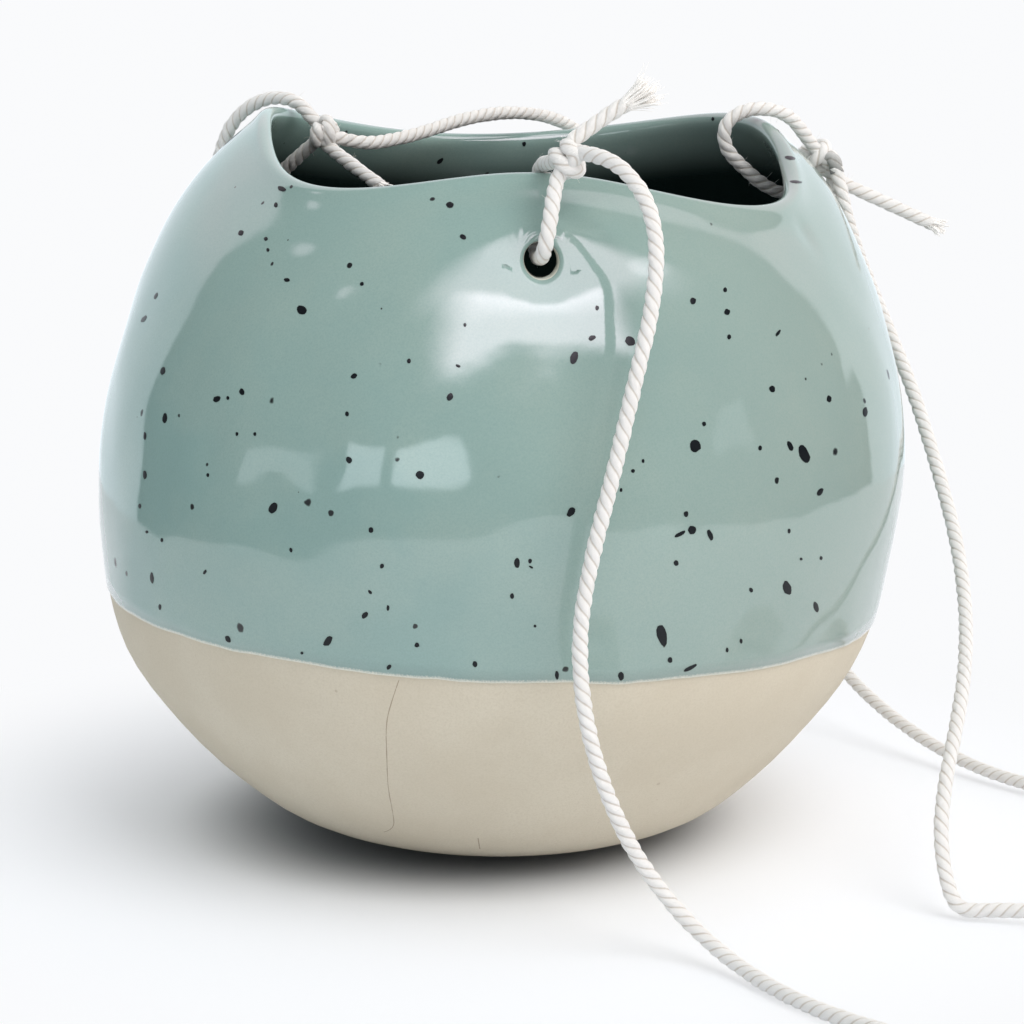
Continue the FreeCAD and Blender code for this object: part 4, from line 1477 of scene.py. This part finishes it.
# %% The sweep
SWEEP_REACH = 0.50
# Between these distances from the middle the sweep fades into the backdrop, for the camera
SWEEP_FADE, SWEEP_GONE = 0.060, 0.18
SWEEP_SIDES = 96
# A painted shadow darkens the sweep under the bowl, up to this far from this place
PAINTED_SHADOW_REACH = 0.070
PAINTED_SHADOW_MIDDLE = (-0.010, 0.002, 0.0)
# Colours of the painted shadow and of the rest of the sweep
PAINTED_SHADOW_COLOUR, SWEEP_COLOUR = (0.24, 0.255, 0.27), (0.875, 0.90, 0.935)
BACKDROP_COLOUR = (0.955, 0.962, 0.975)
floor_shape = bmesh.new()
bmesh.ops.create_circle(floor_shape, cap_ends=True, segments=SWEEP_SIDES, radius=SWEEP_REACH)
floor = new_object("floor", floor_shape)
white, tree, shader, place = new_material("white_sweep")
beside = tree.add("VectorMath", {0: place, 1: PAINTED_SHADOW_MIDDLE}, operation="DISTANCE").outputs["Value"]
shade = tree.ramp(beside, PAINTED_SHADOW_REACH * 0.5, PAINTED_SHADOW_REACH)
# The painted shadow under the bowl
painted_shadow = tree.blend(shade, PAINTED_SHADOW_COLOUR, SWEEP_COLOUR)
tree.put(shader, {"Base Color": painted_shadow, "Roughness": 0.7, "Specular IOR Level": 0.2})
far = tree.add("VectorMath", {0: place}, operation="LENGTH").outputs["Value"]
seen = tree.add("LightPath").outputs["Is Camera Ray"]
far = tree.math("MULTIPLY", tree.ramp(far, SWEEP_FADE, SWEEP_GONE), seen)
glow = tree.add("Emission", {"Color": opaque(BACKDROP_COLOUR), "Strength": 1.0})
mixed = tree.add("MixShader", {0: far, 1: shader.outputs[0], 2: glow.outputs[0]})
tree.put(white.node_tree.nodes["Material Output"], {"Surface": mixed.outputs[0]})
floor.data.materials.append(white)
print("the sweep reaches", SWEEP_REACH, "m")

# %% What the glaze mirrors
ROOM = 0.08
BACKDROP = 1.25
# The way from the room to the backdrop, and where along it one goes over into the other
BACKDROP_WAY, BACKDROP_EDGE = (0.0, 1.0, 0.15), (0.53, 0.56)
world = bpy.data.worlds.new("studio")
scene.world = world
world.use_nodes = True
sky = Tree(world.node_tree)
direction = sky.add("TexCoord").outputs["Generated"]


def towards(azimuth, height):
    """Unit vector at this turn from the front, to the right, and this many degrees up."""
    turn, up = math.radians(azimuth), math.radians(height)
    return (math.sin(turn) * math.cos(up), -math.cos(turn) * math.cos(up), math.sin(up))


def facing_to(way):
    return sky.add("VectorMath", {0: direction, 1: way}, operation="DOT_PRODUCT").outputs["Value"]


def glow_at(azimuth, height, inner, outer, strength):
    """A round soft light in the sky, whose glow fades between two angles from its middle."""
    low, high = math.cos(math.radians(outer)), math.cos(math.radians(inner))
    return sky.ramp(facing_to(towards(azimuth, height)), low, high, 0.0, strength)


def between(value, low, high, soft):
    """1 between two angles and 0 outside them, with soft edges."""
    rise = sky.ramp(value, low, low + soft)
    return sky.math("MULTIPLY", rise, sky.ramp(value, high - soft, high, 1.0, 0.0))


mirrored = sky.ramp(facing_to(BACKDROP_WAY), *BACKDROP_EDGE, ROOM, BACKDROP)
# Each small glow: turn from the front, height, inner and outer angle, strength
GLOWS = ((76, 50, 2, 8, 3.0), (-72, 40, 0.5, 2.5, 2.5), (-112, 42, 0.5, 3, 2.0))
for glow in GLOWS:
    mirrored = sky.math("ADD", mirrored, glow_at(*glow))
parts = sky.add("SeparateXYZ", {0: direction})
turned = sky.math("ARCTAN2", parts.outputs["X"], sky.math("MULTIPLY", parts.outputs["Y"], -1.0))
raised = sky.math("ARCSINE", parts.outputs["Z"])
# Each pane: from and to this turn from the front, lowest and highest angle, how soft its sides
# and its ends are, and its strength. Four are windows, and the last two broad soft lights above
PANES = (
    (-80, -57, 2, 10, 0.8, 0.8, 1.4), (-52, -33, 3, 13, 0.8, 0.8, 3.2), (-29, -15, 3, 12, 0.8, 0.8, 3.8),
    (64, 74, 4, 12, 0.8, 0.8, 0.8), (-34, 52, 23, 50, 14, 5, 8.0), (-50, 90, 34, 89, 24, 16, 5.2),
)
for *angles, strength in PANES:
    left, right, low, high, side, end = (math.radians(angle) for angle in angles)
    pane = sky.math("MULTIPLY", between(turned, left, right, side), between(raised, low, high, end))
    mirrored = sky.math("ADD", mirrored, sky.math("MULTIPLY", pane, strength))
print("mirrored:", len(GLOWS), "glows and", len(PANES), "panes")

# %% The light of the sky
SKY_LIGHT = 0.96
SKY_LEFT, SKY_RIGHT = 0.70, 1.22
COOL_TINT, WARM_TINT = (0.89, 0.955, 0.99), (1.0, 0.945, 0.915)
LOW_TINT, HIGH_TINT = (0.86, 0.94, 1.0), (1.0, 0.88, 0.97)
rays = sky.add("LightPath").outputs
rightward = sky.math("ADD", sky.math("MULTIPLY", parts.outputs["X"], 0.5), 0.5)
light = sky.ramp(rightward, 0.0, 1.0, SKY_LIGHT * SKY_LEFT, SKY_LIGHT * SKY_RIGHT)
light = sky.math("MULTIPLY", sky.math("SUBTRACT", 1.0, rays["Is Glossy Ray"]), light)
strength = sky.math("ADD", sky.math("MULTIPLY", mirrored, rays["Is Glossy Ray"]), light)
tint = sky.blend(sky.ramp(rightward, 0.1, 0.9), COOL_TINT, WARM_TINT)
tint = sky.blend(rays["Is Camera Ray"], tint, BACKDROP_COLOUR)
glossy_tint = sky.blend(sky.ramp(raised, 0.25, 0.5), LOW_TINT, HIGH_TINT)
sky.put(world.node_tree.nodes["Background"], {
    "Strength": sky.math("MAXIMUM", strength, rays["Is Camera Ray"]),
    "Color": sky.blend(rays["Is Glossy Ray"], tint, glossy_tint),
})
print("sky nodes:", len(world.node_tree.nodes))


# %% Lamps
def soft_lamp(name, place, target, size, power):
    """A square area lamp that faces a point and isn't itself mirrored."""
    lamp = bpy.data.lights.new(name, "AREA")
    lamp.size = size
    lamp.energy = power
    holder = bpy.data.objects.new(name, lamp)
    holder.location = place
    holder.rotation_euler = (Vector(target) - Vector(place)).to_track_quat("-Z", "Y").to_euler()
    holder.visible_glossy = False
    scene.collection.objects.link(holder)
    return holder


KEY_PLACE, KEY_TARGET = (0.8, -0.9, 1.5), (0, 0, 0.05)
KEY_SIZE = 1.3
KEY_POWER = 17.0
key_lamp = soft_lamp("key_lamp", KEY_PLACE, KEY_TARGET, KEY_SIZE, KEY_POWER)
print(key_lamp.name, KEY_POWER, "W")

# %% The view transform
scene.view_settings.view_transform = "Standard"
